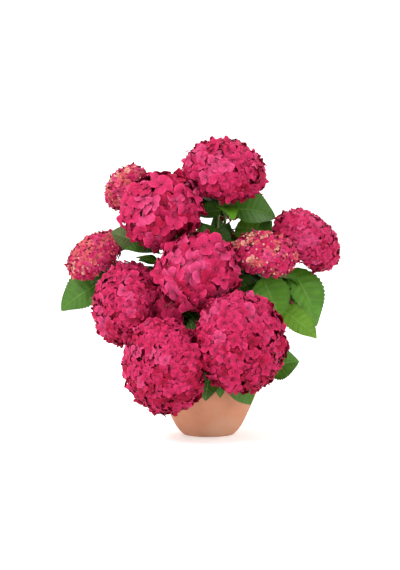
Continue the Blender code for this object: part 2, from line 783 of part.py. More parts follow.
# ---------------------------------------------------------------- assembly
def main():
    clear_scene()
    make_pot()
    make_soil()
    make_stock()
    bark = material("bark", (0.30, 0.22, 0.12), 0.85)
    growth = Growth()
    grow_reaching_leaves(growth)
    grow_pairs(growth)
    for head in HEADS:
        object_from(cane_bmesh(head), "cane_" + head.name, bark)
        make_shoot(head, growth.leaves[head.name])
    for head in BLOOMS:
        make_head(head)


main()
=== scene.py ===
"""A mophead hydrangea in bloom in a low terracotta pot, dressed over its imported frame.

Metres, +Z up. The origin is under the pot's foot, and -Y is the plant's front. The stems,
leaves and florets grow by the same seeded rule as the frame's solids, with finer shapes.
"""

import logging
import math
from dataclasses import dataclass, field
from enum import Enum
from random import Random
from typing import Iterable, Sequence

import bmesh
import bpy
from bmesh.types import BMEdge, BMesh, BMFace, BMVert
from bpy.types import ID, Material, Node, NodeSocket, Object
from mathutils import Matrix, Vector, noise
from mathutils.bvhtree import BVHTree


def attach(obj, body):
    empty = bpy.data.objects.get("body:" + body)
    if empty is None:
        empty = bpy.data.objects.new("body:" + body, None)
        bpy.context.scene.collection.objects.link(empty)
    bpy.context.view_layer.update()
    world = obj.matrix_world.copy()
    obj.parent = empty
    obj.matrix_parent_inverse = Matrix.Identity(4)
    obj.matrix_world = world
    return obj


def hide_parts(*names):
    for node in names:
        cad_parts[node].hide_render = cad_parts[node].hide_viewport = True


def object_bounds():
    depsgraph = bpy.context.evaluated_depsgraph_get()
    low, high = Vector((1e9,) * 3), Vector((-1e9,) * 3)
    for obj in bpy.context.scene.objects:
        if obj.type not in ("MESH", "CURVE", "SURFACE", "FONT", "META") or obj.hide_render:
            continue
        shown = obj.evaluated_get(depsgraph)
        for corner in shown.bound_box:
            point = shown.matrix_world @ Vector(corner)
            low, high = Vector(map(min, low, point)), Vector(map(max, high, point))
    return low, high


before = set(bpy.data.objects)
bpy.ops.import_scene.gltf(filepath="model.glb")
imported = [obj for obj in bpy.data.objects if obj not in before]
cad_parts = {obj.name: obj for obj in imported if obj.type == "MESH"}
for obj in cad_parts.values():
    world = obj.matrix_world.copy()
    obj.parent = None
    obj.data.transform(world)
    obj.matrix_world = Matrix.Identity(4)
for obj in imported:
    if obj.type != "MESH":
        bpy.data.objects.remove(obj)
FRAME_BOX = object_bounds()

LOG = logging.getLogger("hydrangea")
BODY = "root"
UP = Vector((0, 0, 1))
GOLDEN_ANGLE = math.pi * (3 - math.sqrt(5))
UV_NAME = "blade"
MERGE = 1e-5
Pair = tuple[float, float]
Triple = tuple[float, float, float]
Colour = Triple
Place = tuple[Vector, Vector]
BLACK: Colour = (0.0, 0.0, 0.0)
WHITE: Colour = (1.0, 1.0, 1.0)


# ---- finishes
def grey(level: float) -> Colour:
    """The grey of this level."""
    return (level,) * 3


def shaded(colour: Colour, factor: float) -> Colour:
    """A colour made darker or lighter, with no part past full."""
    return tuple(min(1.0, part * factor) for part in colour)


class Shader:
    """Adds nodes to one material and links them, in few words."""

    def __init__(self, name: str) -> None:
        """Starts a material with its Principled shader.

        Args:
            name: The material's name.
        """
        self.material = bpy.data.materials.new(name)
        self.material.use_nodes = True
        self.tree = self.material.node_tree
        self.surface = self.tree.nodes["Principled BSDF"]

    def add(self, kind: str, **inputs: object) -> Node:
        """Adds a node.

        Args:
            kind: The node's type name, without the ShaderNode before it.
            inputs: Values by input name, with _ for a space.

        Returns:
            The new node.
        """
        node = self.tree.nodes.new("ShaderNode" + kind)
        for name, value in inputs.items():
            node.inputs[name.replace("_", " ")].default_value = value
        return node

    def link(self, start: NodeSocket, end: NodeSocket) -> None:
        """Joins an output to an input."""
        self.tree.links.new(start, end)

    def feed(self, node: Node, terms: Sequence[object]) -> None:
        """Fills a node's inputs in order.

        Args:
            node: The node.
            terms: A plain value or another node's output for each input.
        """
        for socket, term in zip(node.inputs, terms):
            if isinstance(term, NodeSocket):
                self.link(term, socket)
            else:
                socket.default_value = term

    def noise(self, grain: float, stretch: Sequence[float] = (1, 1, 1), detail: float = 4) -> NodeSocket:
        """A noise over the piece's own coordinates.

        Args:
            grain: Its scale, per metre.
            stretch: A factor on the scale for each axis.
            detail: How many finer layers it has.

        Returns:
            The noise's value, about 0.5 on average.
        """
        place = self.add("TexCoord")
        mapping = self.add("Mapping", Scale=stretch)
        pattern = self.add("TexNoise", Scale=grain, Detail=detail)
        self.link(place.outputs["Object"], mapping.inputs["Vector"])
        self.link(mapping.outputs["Vector"], pattern.inputs["Vector"])
        return pattern.outputs["Fac"]

    def uv(self) -> tuple[NodeSocket, NodeSocket]:
        """Reads the piece's own UV map.

        Returns:
            How far across a leaf or sepal a point is, and how far along.
        """
        place = self.add("UVMap")
        place.uv_map = UV_NAME
        parts = self.add("SeparateXYZ")
        self.link(place.outputs["UV"], parts.inputs["Vector"])
        return parts.outputs["X"], parts.outputs["Y"]

    def sum(self, kind: str, *terms: object) -> NodeSocket:
        """A Math node's value.

        Args:
            kind: The operation.
            terms: Its inputs, each a number or another node's output.

        Returns:
            The result.
        """
        node = self.add("Math")
        node.operation = kind
        self.feed(node, terms)
        return node.outputs["Value"]

    def tint(self, kind: str, share: object, first: object, second: object) -> NodeSocket:
        """Two colours mixed.

        Args:
            kind: How they mix, such as MIX or MULTIPLY.
            share: How much of the second there is.
            first: The first colour, plain or from a node.
            second: The second colour, plain or from a node.

        Returns:
            The mixed colour.
        """
        node = self.add("MixRGB")
        node.blend_type = kind
        self.feed(node, (share, first, second))
        return node.outputs["Color"]

    def blend(self, share: NodeSocket, stops: Sequence[tuple[float, Colour]]) -> NodeSocket:
        """A colour ramp.

        Args:
            share: The value that runs along the ramp.
            stops: Positions from 0 to 1, each with its colour.

        Returns:
            The ramp's colour.
        """
        ramp = self.add("ValToRGB")
        self.link(share, ramp.inputs["Fac"])
        points = ramp.color_ramp.elements
        while len(points) < len(stops):
            points.new(0.5)
        for point, (position, colour) in zip(points, stops):
            point.position = position
            point.color = (*colour, 1)
        return ramp.outputs["Color"]

    def bump(self, height: NodeSocket, depth: float) -> None:
        """Raises the surface by a pattern.

        Args:
            height: The pattern.
            depth: How far it raises the surface, in metres.
        """
        node = self.add("Bump", Distance=depth)
        self.link(height, node.inputs["Height"])
        self.link(node.outputs["Normal"], self.surface.inputs["Normal"])

    def paint(self, colour: NodeSocket) -> None:
        """Gives the surface its colour from a node."""
        self.link(colour, self.surface.inputs["Base Color"])

    def set(self, **inputs: object) -> None:
        """Sets plain values on the shader, with _ for a space in a name."""
        for name, value in inputs.items():
            self.surface.inputs[name.replace("_", " ")].default_value = value


@dataclass(frozen=True)
class Finish:
    """A plant surface: its colour drifts a little, and a fine relief breaks up the light.

    Attributes:
        name: The material's name.
        colour: The main colour.
        drift: How far the colour goes darker and lighter, as a share.
        patch: The size of a patch of drift, per metre.
        roughness: The shader's roughness.
        relief: The depth of the fine relief, in metres.
        grain: The scale of the fine relief, per metre.
        shine: How strongly it mirrors the light.
    """

    name: str
    colour: Colour
    drift: float = 0.12
    patch: float = 60
    roughness: float = 0.55
    relief: float = 0.0002
    grain: float = 500
    shine: float = 0.3

    def shades(self) -> list[tuple[float, Colour]]:
        """The colour ramp's stops, from the darker to the lighter shade."""
        return [(0.32, shaded(self.colour, 1 - self.drift)), (0.68, shaded(self.colour, 1 + self.drift))]

    def material(self) -> Material:
        """Makes the finish's material on first use.

        Returns:
            The material.
        """
        found = bpy.data.materials.get(self.name)
        if found:
            return found
        shader = Shader(self.name)
        self.dress(shader)
        shader.set(Roughness=self.roughness, Specular_IOR_Level=self.shine)
        return shader.material

    def dress(self, shader: Shader) -> None:
        """Adds the colour and the relief of this finish.

        Args:
            shader: The new material's nodes.
        """
        shader.paint(shader.blend(shader.noise(self.patch), self.shades()))
        shader.bump(shader.noise(self.grain, detail=2), self.relief)


@dataclass(frozen=True)
class ClayFinish(Finish):
    """Fired terracotta: warm, a little mottled, with pale bloom and fine turned lines.

    Attributes:
        bloom: The colour of the pale bloom.
        bloom_grain: The scale of the bloom's patches, per metre.
        bloom_cover: How far the bloom hides the clay where it is thickest.
        bloom_stretch: A factor on that scale for each axis.
        line_scale: The scale of the turned lines on each axis, per metre.
    """

    bloom: Colour = (0.42, 0.29, 0.20)
    bloom_grain: float = 9
    bloom_cover: float = 0.62
    bloom_stretch: Triple = (1, 1, 1.6)
    line_scale: Triple = (6, 6, 900)

    def dress(self, shader: Shader) -> None:
        """Adds the clay's colour, its bloom, pits and turned lines.

        Args:
            shader: The new material's nodes.
        """
        body = shader.blend(shader.noise(self.patch, detail=6), self.shades())
        patches = shader.noise(self.bloom_grain, self.bloom_stretch, detail=5)
        cover = shader.blend(patches, [(0.50, BLACK), (0.74, grey(self.bloom_cover))])
        shader.paint(shader.tint("MIX", cover, body, (*self.bloom, 1)))
        lines = shader.noise(1, self.line_scale, detail=1)
        shader.bump(shader.sum("ADD", lines, shader.noise(self.grain, detail=3)), self.relief)


@dataclass(frozen=True)
class BarkFinish(Finish):
    """Bark in long streaks of two browns.

    Attributes:
        streak: The colour of the darker streaks.
        streak_stretch: A factor on the streaks' scale for each axis.
        groove_stretch: A factor on the relief's scale for each axis.
    """

    streak: Colour = (0.10, 0.07, 0.04)
    streak_stretch: Triple = (5, 5, 0.6)
    groove_stretch: Triple = (3, 3, 0.4)

    def dress(self, shader: Shader) -> None:
        """Adds the streaks, which run up the stem, and their relief.

        Args:
            shader: The new material's nodes.
        """
        streaks = shader.noise(self.patch, self.streak_stretch, detail=5)
        shader.paint(shader.blend(streaks, [(0.36, self.streak), (0.62, self.colour)]))
        shader.bump(shader.noise(self.grain, self.groove_stretch, detail=4), self.relief)


@dataclass(frozen=True)
class LeafFinish(Finish):
    """A leaf's green, with paler veins that follow the blade and a net of fine ones.

    Attributes:
        veins: How many side veins run to each edge.
        vein_light: How much lighter than the green a vein is.
        vein_cover: How far a vein's colour hides the green.
        vein_edge: Where a side vein begins to fade and where it ends, in spaces between veins.
        rib_edge: Where the midrib begins to fade and where it ends, in blade widths.
        hem: What the green is multiplied by at the blade's edge.
        cell: How far from its border a cell of the fine net swells, in cells.
        swell: How much the net adds to the relief.
        pucker: How much the blade's rise between its side veins adds to the relief.
    """

    drift: float = 0.16
    patch: float = 55
    roughness: float = 0.42
    grain: float = 900
    shine: float = 0.22
    veins: int = 9
    vein_light: float = 1.45
    vein_cover: float = 0.5
    vein_edge: Pair = (0.02, 0.10)
    rib_edge: Pair = (0.012, 0.045)
    hem: Colour = (0.80, 0.84, 0.72)
    cell: float = 0.2
    swell: float = 2.5
    pucker: float = 1.5

    def dress(self, shader: Shader) -> None:
        """Adds the green, the veins and the puckered relief between them.

        Args:
            shader: The new material's nodes.
        """
        across, along = shader.uv()
        off_vein = shader.sum("PINGPONG", shader.sum("MULTIPLY", along, self.veins), 0.5)
        off_rib = shader.sum("ABSOLUTE", shader.sum("SUBTRACT", across, 0.5))
        side_vein = shader.blend(off_vein, list(zip(self.vein_edge, (WHITE, BLACK))))
        rib = shader.blend(off_rib, list(zip(self.rib_edge, (WHITE, BLACK))))
        lines = shader.sum("MULTIPLY", shader.tint("LIGHTEN", 1.0, side_vein, rib), self.vein_cover)
        green = shader.blend(shader.noise(self.patch), self.shades())
        veined = shader.tint("MIX", lines, green, (*shaded(self.colour, self.vein_light), 1))
        edge = shader.blend(off_rib, [(0.30, WHITE), (0.5, self.hem)])
        shader.paint(shader.tint("MULTIPLY", 1.0, veined, edge))
        net = shader.add("TexVoronoi", Scale=self.grain)
        net.feature = "DISTANCE_TO_EDGE"
        shader.link(shader.add("TexCoord").outputs["Object"], net.inputs["Vector"])
        cells = shader.sum("MINIMUM", net.outputs["Distance"], self.cell)
        rises = [shader.sum("MULTIPLY", cells, self.swell), shader.sum("MULTIPLY", off_vein, self.pucker)]
        shader.bump(shader.sum("ADD", *rises), self.relief)


@dataclass(frozen=True)
class SepalFinish(Finish):
    """A sepal's pink, with fine veins running out: a painted shade deepens it at the claw, and a painted
    highlight lightens its rim and side edges.

    Attributes:
        claw: What the pink is multiplied by at the claw, a painted shade.
        rim: What it is multiplied by at the rim and the side edges, a painted highlight.
        vein_scale: The veins' scale across a sepal, along it, and per metre of height.
        vein_shades: What the pink is multiplied by in a dark vein and in a light one.
        patch_shades: What it is multiplied by in a dark patch and in a light one.
    """

    patch: float = 90
    roughness: float = 0.62
    shine: float = 0.06
    claw: float = 0.45
    rim: Colour = (1.24, 1.65, 1.32)
    vein_scale: Triple = (13.0, 1.4, 25.0)
    vein_shades: Pair = (0.80, 1.14)
    patch_shades: tuple[Colour, Colour] = ((0.86, 0.80, 0.80), (1.08, 1.1, 1.1))

    def dress(self, shader: Shader) -> None:
        """Adds the pink, the veins, and the painted shade at the claw that rises to a painted highlight at
        the rim and edges.

        Args:
            shader: The new material's nodes.
        """
        across, along = shader.uv()
        spot = shader.add("SeparateXYZ")
        shader.link(shader.add("TexCoord").outputs["Object"], spot.inputs["Vector"])
        parts = zip((across, along, spot.outputs["Z"]), self.vein_scale)
        place = shader.add("CombineXYZ")
        shader.feed(place, [shader.sum("MULTIPLY", part, scale) for part, scale in parts])
        fan = shader.add("TexNoise", Scale=1.0, Detail=3)
        shader.link(place.outputs["Vector"], fan.inputs["Vector"])
        deep, light = (shaded(self.colour, factor) for factor in self.vein_shades)
        pink = shader.blend(fan.outputs["Fac"], [(0.36, deep), (0.60, light)])
        # Painted shade at the claw, rising to a painted highlight at the rim.
        steps = [(0.0, grey(self.claw)), (0.35, grey(0.86)), (0.80, WHITE), (0.98, self.rim)]
        aside = shader.sum("ABSOLUTE", shader.sum("SUBTRACT", across, 0.5))
        # Painted highlight along the sepal's side edges.
        hem = shader.blend(aside, [(0.30, grey(0.94)), (0.49, self.rim)])
        patches = shader.blend(shader.noise(self.patch), list(zip((0.32, 0.68), self.patch_shades)))
        for pattern in (shader.blend(along, steps), hem, patches):
            pink = shader.tint("MULTIPLY", 1.0, pink, pattern)
        shader.paint(pink)
        shader.bump(fan.outputs["Fac"], self.relief)


CLAY = ClayFinish("terracotta", (0.47, 0.205, 0.120), 0.10, 22, 0.86, 0.0003, 700)
COMPOST = Finish("compost", (0.050, 0.032, 0.020), 0.45, 260, 0.95, 0.0012, 420)
CRUMB = Finish("compost_crumb", (0.085, 0.055, 0.034), 0.5, 400, 0.95, 0.0006, 800)
OLD_WOOD = BarkFinish("old_wood", (0.23, 0.155, 0.095), 0.2, 60, 0.9, 0.0008, 160)
BARK = BarkFinish(
    "cane_bark", (0.34, 0.245, 0.135), 0.2, 70, 0.82, 0.0005, 240, streak=(0.15, 0.10, 0.055)
)
GREEN_STEM = BarkFinish(
    "green_stem", (0.17, 0.27, 0.07), 0.2, 90, 0.5, 0.0002, 500, streak=(0.16, 0.13, 0.05)
)
RIB = Finish("leaf_rib", (0.135, 0.255, 0.050), 0.1, 80, 0.5, 0.0001, 600)
FLOWER_STALK = Finish("flower_stalk", (0.34, 0.16, 0.11), 0.2, 120, 0.6, 0.0001, 600)
BUD = Finish("open_bud", (0.42, 0.050, 0.095), 0.2, 300, 0.6, 0.0001, 900)
CREAM_BUD = Finish("cream_bud", (0.60, 0.32, 0.22), 0.2, 300, 0.5, 0.0001, 900)


class LeafTone(Enum):
    """The greens that are dealt out to leaves, mostly one green at several brightnesses; where the leaf
    tables give them, they partly stand for painted light and shade.
    """

    FRESH = LeafFinish("leaf_fresh", (0.105, 0.240, 0.012))
    BRIGHT = LeafFinish("leaf_bright", (0.062, 0.178, 0.009))
    MIDDLE = LeafFinish("leaf_middle", (0.046, 0.132, 0.009), roughness=0.44)
    DEEP = LeafFinish("leaf_deep", (0.034, 0.092, 0.008), roughness=0.46)
    OLIVE = LeafFinish("leaf_olive", (0.078, 0.112, 0.034), roughness=0.5)


class SepalTone(Enum):
    """The pinks that are dealt out to florets."""

    PALE = SepalFinish("sepal_pale", (0.505, 0.040, 0.138))
    HOT = SepalFinish("sepal_hot", (0.468, 0.020, 0.094))
    ROSE = SepalFinish("sepal_rose", (0.420, 0.014, 0.073))
    CRIMSON = SepalFinish("sepal_crimson", (0.335, 0.007, 0.042), roughness=0.64)
    # The shade pink is a painted shade: it is dealt to florets deep in a head, low down, or turned from the
    # light.
    SHADE = SepalFinish("sepal_shade", (0.262, 0.005, 0.030), roughness=0.66)
    SALMON = SepalFinish("sepal_salmon", (0.540, 0.080, 0.105))
    CREAM = SepalFinish("sepal_cream", (0.590, 0.235, 0.200))


FRESH, BRIGHT, MIDDLE, DEEP, OLIVE = LeafTone
PALE, HOT, ROSE, CRIMSON, SHADE, SALMON, CREAM = SepalTone


# ---- small tools
def facing(heading: float, pitch: float) -> Vector:
    """The way with this compass heading and upward pitch.

    Args:
        heading: The heading, from +X towards +Y, in degrees.
        pitch: How far it looks up, in degrees.

    Returns:
        The unit vector.
    """
    level = math.cos(math.radians(pitch))
    turn = math.radians(heading)
    return Vector((level * math.cos(turn), level * math.sin(turn), math.sin(math.radians(pitch))))


def square_to(axis: Vector) -> tuple[Vector, Vector]:
    """Two unit vectors square to the axis and to each other."""
    first = axis.orthogonal().normalized()
    return first, axis.cross(first).normalized()


def spread(low: float, high: float, count: int) -> list[float]:
    """Evenly spaced values from low to high."""
    return [low + (high - low) * i / (count - 1) for i in range(count)]


def placed(origin: Vector, side: Vector, along: Vector, width: float, length: float) -> Matrix:
    """The matrix that puts a shape in its place.

    Args:
        origin: Where the shape's own origin goes.
        side: The unit vector for its X.
        along: The unit vector for its Z.
        width: Its scale in X and Y.
        length: Its scale in Z.

    Returns:
        The 4 by 4 matrix.
    """
    pose = Matrix((side, along.cross(side), along)).transposed().to_4x4()
    return Matrix.Translation(origin) @ pose @ Matrix.Diagonal((width, width, length, 1))


def tree_of(bm: BMesh) -> BVHTree:
    """Makes a search tree of a mesh.

    Args:
        bm: The mesh, which is then freed.

    Returns:
        The tree.
    """
    tree = BVHTree.FromBMesh(bm)
    bm.free()
    return tree


def show(name: str, data: ID) -> Object:
    """Adds an object to the scene.

    Args:
        name: The object's name.
        data: What it shows.

    Returns:
        The object.
    """
    made = bpy.data.objects.new(name, data)
    bpy.context.scene.collection.objects.link(made)
    return made


def piece(
    bm: BMesh, name: str, finishes: Iterable[Finish], node: str, smooth: bool = True
) -> Object:
    """Turns a mesh into a finished piece that rides on the plant.

    Args:
        bm: The mesh, which is then freed.
        name: The piece's name.
        finishes: The finishes of its material slots, in order.
        node: The frame's node that it stands for.
        smooth: Whether all its faces are shaded smooth.

    Returns:
        The new object.
    """
    mesh = bpy.data.meshes.new(name)
    bm.to_mesh(mesh)
    bm.free()
    for finish in finishes:
        mesh.materials.append(finish.material())
    if smooth:
        mesh.shade_smooth()
    made = show(name, mesh)
    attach(made, BODY)
    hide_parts(node)
    LOG.info("%s: %d faces", name, len(mesh.polygons))
    return made


def lathe(section: Sequence[Pair], steps: int) -> BMesh:
    """Spins a section once round the upright axis.

    Args:
        section: Its points, each a radius and a height, from the axis outwards.
        steps: How many steps the spin has.

    Returns:
        The mesh, with its seam and its poles closed.
    """
    bm = bmesh.new()
    chain = [bm.verts.new((radius, 0, height)) for radius, height in section]
    for pair in zip(chain, chain[1:]):
        bm.edges.new(pair)
    bmesh.ops.spin(
        bm,
        geom=bm.verts[:] + bm.edges[:],
        cent=(0, 0, 0),
        axis=UP,
        angle=math.tau,
        steps=steps,
        use_merge=True,
    )
    bmesh.ops.remove_doubles(bm, verts=bm.verts, dist=MERGE)
    bmesh.ops.recalc_face_normals(bm, faces=bm.faces)
    return bm


def faces_of(verts: Iterable[BMVert]) -> list[BMFace]:
    """The faces round these vertices, each of them once."""
    return list(dict.fromkeys(face for vertex in verts for face in vertex.link_faces))


def tube(
    bm: BMesh, points: Sequence[Vector], ways: Sequence[Vector], radii: Sequence[float], sides: int
) -> list[list[BMVert]]:
    """Extrudes a ring along a path into a closed limb.

    Args:
        bm: The mesh that the limb is added to.
        points: The path's points.
        ways: The unit vector that the limb runs along at each point.
        radii: The limb's radius at each point.
        sides: How many sides the ring has.

    Returns:
        The vertices of each ring, in order.
    """
    side = square_to(ways[0])[0]
    place = placed(points[0], side, ways[0], radii[0], radii[0])
    ring = bmesh.ops.create_circle(bm, segments=sides, radius=1, matrix=place)["verts"]
    edges = list(dict.fromkeys(edge for vertex in ring for edge in vertex.link_edges))
    bm.faces.new(ring[::-1])
    rings = [ring]
    for point, way, radius in zip(points[1:], ways[1:], radii[1:]):
        side = (side - way * side.dot(way)).normalized()
        after = placed(point, side, way, radius, radius)
        grown = bmesh.ops.extrude_edge_only(bm, edges=edges)["geom"]
        ring = [item for item in grown if isinstance(item, BMVert)]
        edges = [item for item in grown if isinstance(item, BMEdge)]
        bmesh.ops.transform(bm, matrix=after @ place.inverted(), verts=ring)
        place = after
        rings.append(ring)
    bmesh.ops.contextual_create(bm, geom=edges)
    return rings


def recolour(faces: Iterable[BMFace], slot: int) -> None:
    """Gives faces a material slot."""
    for face in faces:
        face.material_index = slot


def mark_uv(bm: BMesh, places: dict[BMVert, Pair]) -> None:
    """Gives the faces of a blade their UV.

    Args:
        bm: The mesh that the blade is in.
        places: The share across and the share along for each of the blade's vertices.
    """
    layer = bm.loops.layers.uv[UV_NAME]
    for face in faces_of(places):
        for loop in face.loops:
            loop[layer].uv = places[loop.vert]


def back_inside(points: Iterable[Vector]) -> Vector:
    """The shift that brings a small shape back inside the frame's box.

    Args:
        points: The shape's points.

    Returns:
        The shift, which is zero where the shape is inside already.
    """
    ranges = zip(zip(*points), *FRAME_BOX)
    return Vector([max(0, low - min(side)) - max(0, max(side) - high) for side, low, high in ranges])


class Stamp:
    """A small shape that is copied many times into larger meshes."""

    def __init__(self, bm: BMesh, name: str) -> None:
        """Keeps the shape as a mesh, with each face's slot as its part number.

        Args:
            bm: The shape, which is then freed.
            name: The name of its mesh.
        """
        self.mesh = bpy.data.meshes.new(name)
        bm.to_mesh(self.mesh)
        bm.free()
        self.mesh.shade_smooth()
        self.parts = [polygon.material_index for polygon in self.mesh.polygons]

    def put(self, bm: BMesh, place: Matrix, slots: Sequence[int]) -> None:
        """Adds one copy.

        Args:
            bm: The mesh that the copy is added to.
            place: The copy's place, turn and scale.
            slots: The material slot for each part number.
        """
        copy = self.mesh.copy()
        copy.transform(place)
        copy.transform(Matrix.Translation(back_inside(vertex.co for vertex in copy.vertices)))
        copy.polygons.foreach_set("material_index", [slots[part] for part in self.parts])
        bm.from_mesh(copy)
        bpy.data.meshes.remove(copy)

    def discard(self) -> None:
        """Removes the shape's own mesh once its copies are made."""
        bpy.data.meshes.remove(self.mesh)


# ---- pot and compost
@dataclass(frozen=True)
class PotShape:
    """The clay pot's sizes, and its wall's radius at each height."""

    height: float = 0.142
    wall: float = 0.009
    floor: float = 0.011
    intercept: float = 0.0604
    slope: float = 0.4375
    foot_tuck: float = 0.010
    foot_fade: float = 0.012
    rim_bottom: float = 0.106
    rim_step: float = 0.0045
    rim_round: float = 0.004
    rim_flare: float = 0.1
    soil_level: float = 0.120

    def outside(self, z: float) -> float:
        """The radius of the wall's outer face."""
        return self.intercept + self.slope * z - self.foot_tuck * math.exp(-z / self.foot_fade)

    def inside(self, z: float) -> float:
        """The radius of the wall's inner face."""
        return self.outside(z) - self.wall


@dataclass
class ClayPot:
    """The low flaring pot with its rim band.

    Attributes:
        shape: The pot's sizes.
        steps: How many steps the spin has.
        rings: How many rings the outer wall has.
        crowding: How much closer together they are near the foot: 1 is evenly spread.
        inner_rings: How many rings the inner wall has.
        inner_drop: How far below the compost's level the first of them is.
        rounding: How many points each rounded edge of the rim has.
        crease: The angle past which an edge is shaded sharp, in degrees.
    """

    shape: PotShape = field(default_factory=PotShape)
    steps: int = 128
    rings: int = 26
    crowding: float = 1.5
    inner_rings: int = 8
    inner_drop: float = 0.002
    rounding: int = 5
    crease: float = 32

    def corner(self, radius: float, height: float, start: float) -> list[Pair]:
        """A rounded edge of the rim, a quarter of a circle.

        Args:
            radius: How far its middle is from the axis.
            height: The height of its middle.
            start: The angle that it starts at, in degrees.

        Returns:
            Its points, each a radius and a height.
        """
        size = self.shape.rim_round
        turns = spread(math.radians(start), math.radians(start + 90), self.rounding)
        return [(radius + size * math.cos(turn), height + size * math.sin(turn)) for turn in turns]

    def profile(self) -> list[Pair]:
        """The pot's section.

        Returns:
            Its points, each a radius and a height, from the axis below to the axis inside.
        """
        pot = self.shape
        heights = [pot.rim_bottom * (i / (self.rings - 1)) ** self.crowding for i in range(self.rings)]
        outer = [(pot.outside(height), height) for height in heights]
        band = pot.outside(pot.rim_bottom) + pot.rim_step
        edge = band + pot.rim_flare * (pot.height - pot.rim_bottom) - pot.rim_round
        inner = pot.inside(pot.soil_level) + pot.rim_round * 0.5 + pot.rim_round
        top = pot.height - pot.rim_round
        rim = [(band, pot.rim_bottom + pot.rim_step / 2)]
        rim += self.corner(edge, top, 0) + self.corner(inner, top, 90)
        depths = spread(pot.soil_level - self.inner_drop, pot.floor, self.inner_rings)
        wall = [(pot.inside(height), height) for height in depths]
        return [(0, 0)] + outer + rim + wall + [(0, pot.floor)]

    def build(self) -> Object:
        """Spins the section into the pot and fires it.

        Returns:
            The pot's piece.
        """
        made = piece(lathe(self.profile(), self.steps), "clay_pot", [CLAY], "pot")
        made.data.set_sharp_from_angle(angle=math.radians(self.crease))
        return made


@dataclass
class Compost:
    """The potting compost: a crumbly surface that dips to the pot's wall.

    Attributes:
        shape: The pot that it fills.
        rings: How many rings its surface has.
        steps: How many steps the spin has.
        bottom: The height of its hidden underside.
        gap: How far it stays off the clay.
        heap: How much higher it is in the middle than at the wall.
        edge: How far from the wall it starts to dip.
        lump: The depth of its unevenness.
        grains: The scale of its lumps and of the finer ones on them, per metre.
        crumbs: How many loose crumbs lie on it.
        crumb_reach: How near to the wall they lie, as a share of the surface.
        crumb_sizes: The smallest and the largest crumb's radius.
        crumb_widths: How much wider than that it may be.
        crumb_height: How much lower than wide it is.
        crumb_lift: How far its middle is above the surface, in radii.
    """

    shape: PotShape = field(default_factory=PotShape)
    rings: int = 34
    steps: int = 120
    bottom: float = 0.06
    gap: float = 0.0003
    heap: float = 0.0022
    edge: float = 0.012
    lump: float = 0.00132
    grains: Pair = (70, 217)
    crumbs: int = 420
    crumb_reach: float = 0.96
    crumb_sizes: Pair = (0.0007, 0.0022)
    crumb_widths: Pair = (1, 1.7)
    crumb_height: float = 0.7
    crumb_lift: float = 0.2

    def surface(self, x: float, y: float) -> float:
        """The height of the compost's surface.

        Args:
            x: The place, along X.
            y: The place, along Y.

        Returns:
            The height there.
        """
        coarse, fine = (noise.noise(Vector((x, y, 0)) * grain) for grain in self.grains)
        inwards = (self.shape.inside(self.shape.soil_level) - math.hypot(x, y)) / self.edge
        return self.shape.soil_level + self.heap * min(1.0, inwards) + self.lump * (coarse + 0.5 * fine)

    def build(self) -> Object:
        """Spins the surface, roughens it, and scatters the crumbs.

        Returns:
            The compost's piece.
        """
        pot = self.shape
        reach = pot.inside(pot.soil_level) - self.gap
        section = [(radius, pot.soil_level) for radius in spread(0, reach, self.rings)]
        section += [(pot.inside(self.bottom) - self.gap, self.bottom), (0, self.bottom)]
        bm = lathe(section, self.steps)
        for vertex in bm.verts:
            if vertex.co.z > self.bottom + self.gap:
                vertex.co.z = self.surface(vertex.co.x, vertex.co.y)
        self.scatter(bm, reach)
        return piece(bm, "compost", [COMPOST, CRUMB], "soil", smooth=False)

    def scatter(self, bm: BMesh, reach: float) -> None:
        """Lays crumbs and bits of bark on the surface.

        Args:
            bm: The compost's mesh.
            reach: The radius of its surface.
        """
        lump = bmesh.new()
        bmesh.ops.create_icosphere(lump, subdivisions=1, radius=1)
        stamp = Stamp(lump, "crumb")
        rng = Random("crumbs")
        for _ in range(self.crumbs):
            turn = rng.uniform(0, math.tau)
            out = reach * math.sqrt(rng.random()) * self.crumb_reach
            x, y = out * math.cos(turn), out * math.sin(turn)
            size = rng.uniform(*self.crumb_sizes)
            spot = Vector((x, y, self.surface(x, y) + size * self.crumb_lift))
            side = facing(rng.uniform(0, 360), 0)
            width = size * rng.uniform(*self.crumb_widths)
            place = placed(spot, side, UP, width, size * self.crumb_height)
            stamp.put(bm, place, [rng.choice((0, 1))])
        stamp.discard()


# ---- how the plant grows
@dataclass(frozen=True)
class Age:
    """How the florets of a head of one age sit in the frame's solids.

    Attributes:
        floret: A solid floret's radius.
        cover: How far down the head the florets reach, in degrees from its top.
        stand: How far the florets stand off the core.
        skirt: How much fuller the head's underside is.
    """

    floret: float
    cover: float
    stand: float
    skirt: float


OPEN = Age(floret=0.029, cover=126, stand=0.012, skirt=1.05)
YOUNG = Age(floret=0.021, cover=104, stand=0.008, skirt=1.25)


@dataclass(frozen=True)
class StemHabit:
    """How stems leave the stock, bend and end under their heads."""

    stock_radius: float = 0.036
    stock_height: float = 0.022
    cane_share: float = 0.42
    cane_radius: float = 0.0042
    shoot_radius: float = 0.0031
    tip_radius: float = 0.0024
    cane_rings: int = 5
    shoot_rings: int = 7
    sides: int = 5
    high_lean: float = 14
    low_lean: float = 64
    high_head: float = 0.53
    low_head: float = 0.15
    foot_reach: float = 1.12
    foot_lift: float = 0.002
    leaving_lift: float = 0.8
    leaving_lever: float = 0.42
    entering_lift: float = 0.7
    entering_lever: float = 0.34
    way_step: float = 0.004
    neck: float = 0.012
    collar_depth: float = 0.8


HABIT = StemHabit()
POT = PotShape()


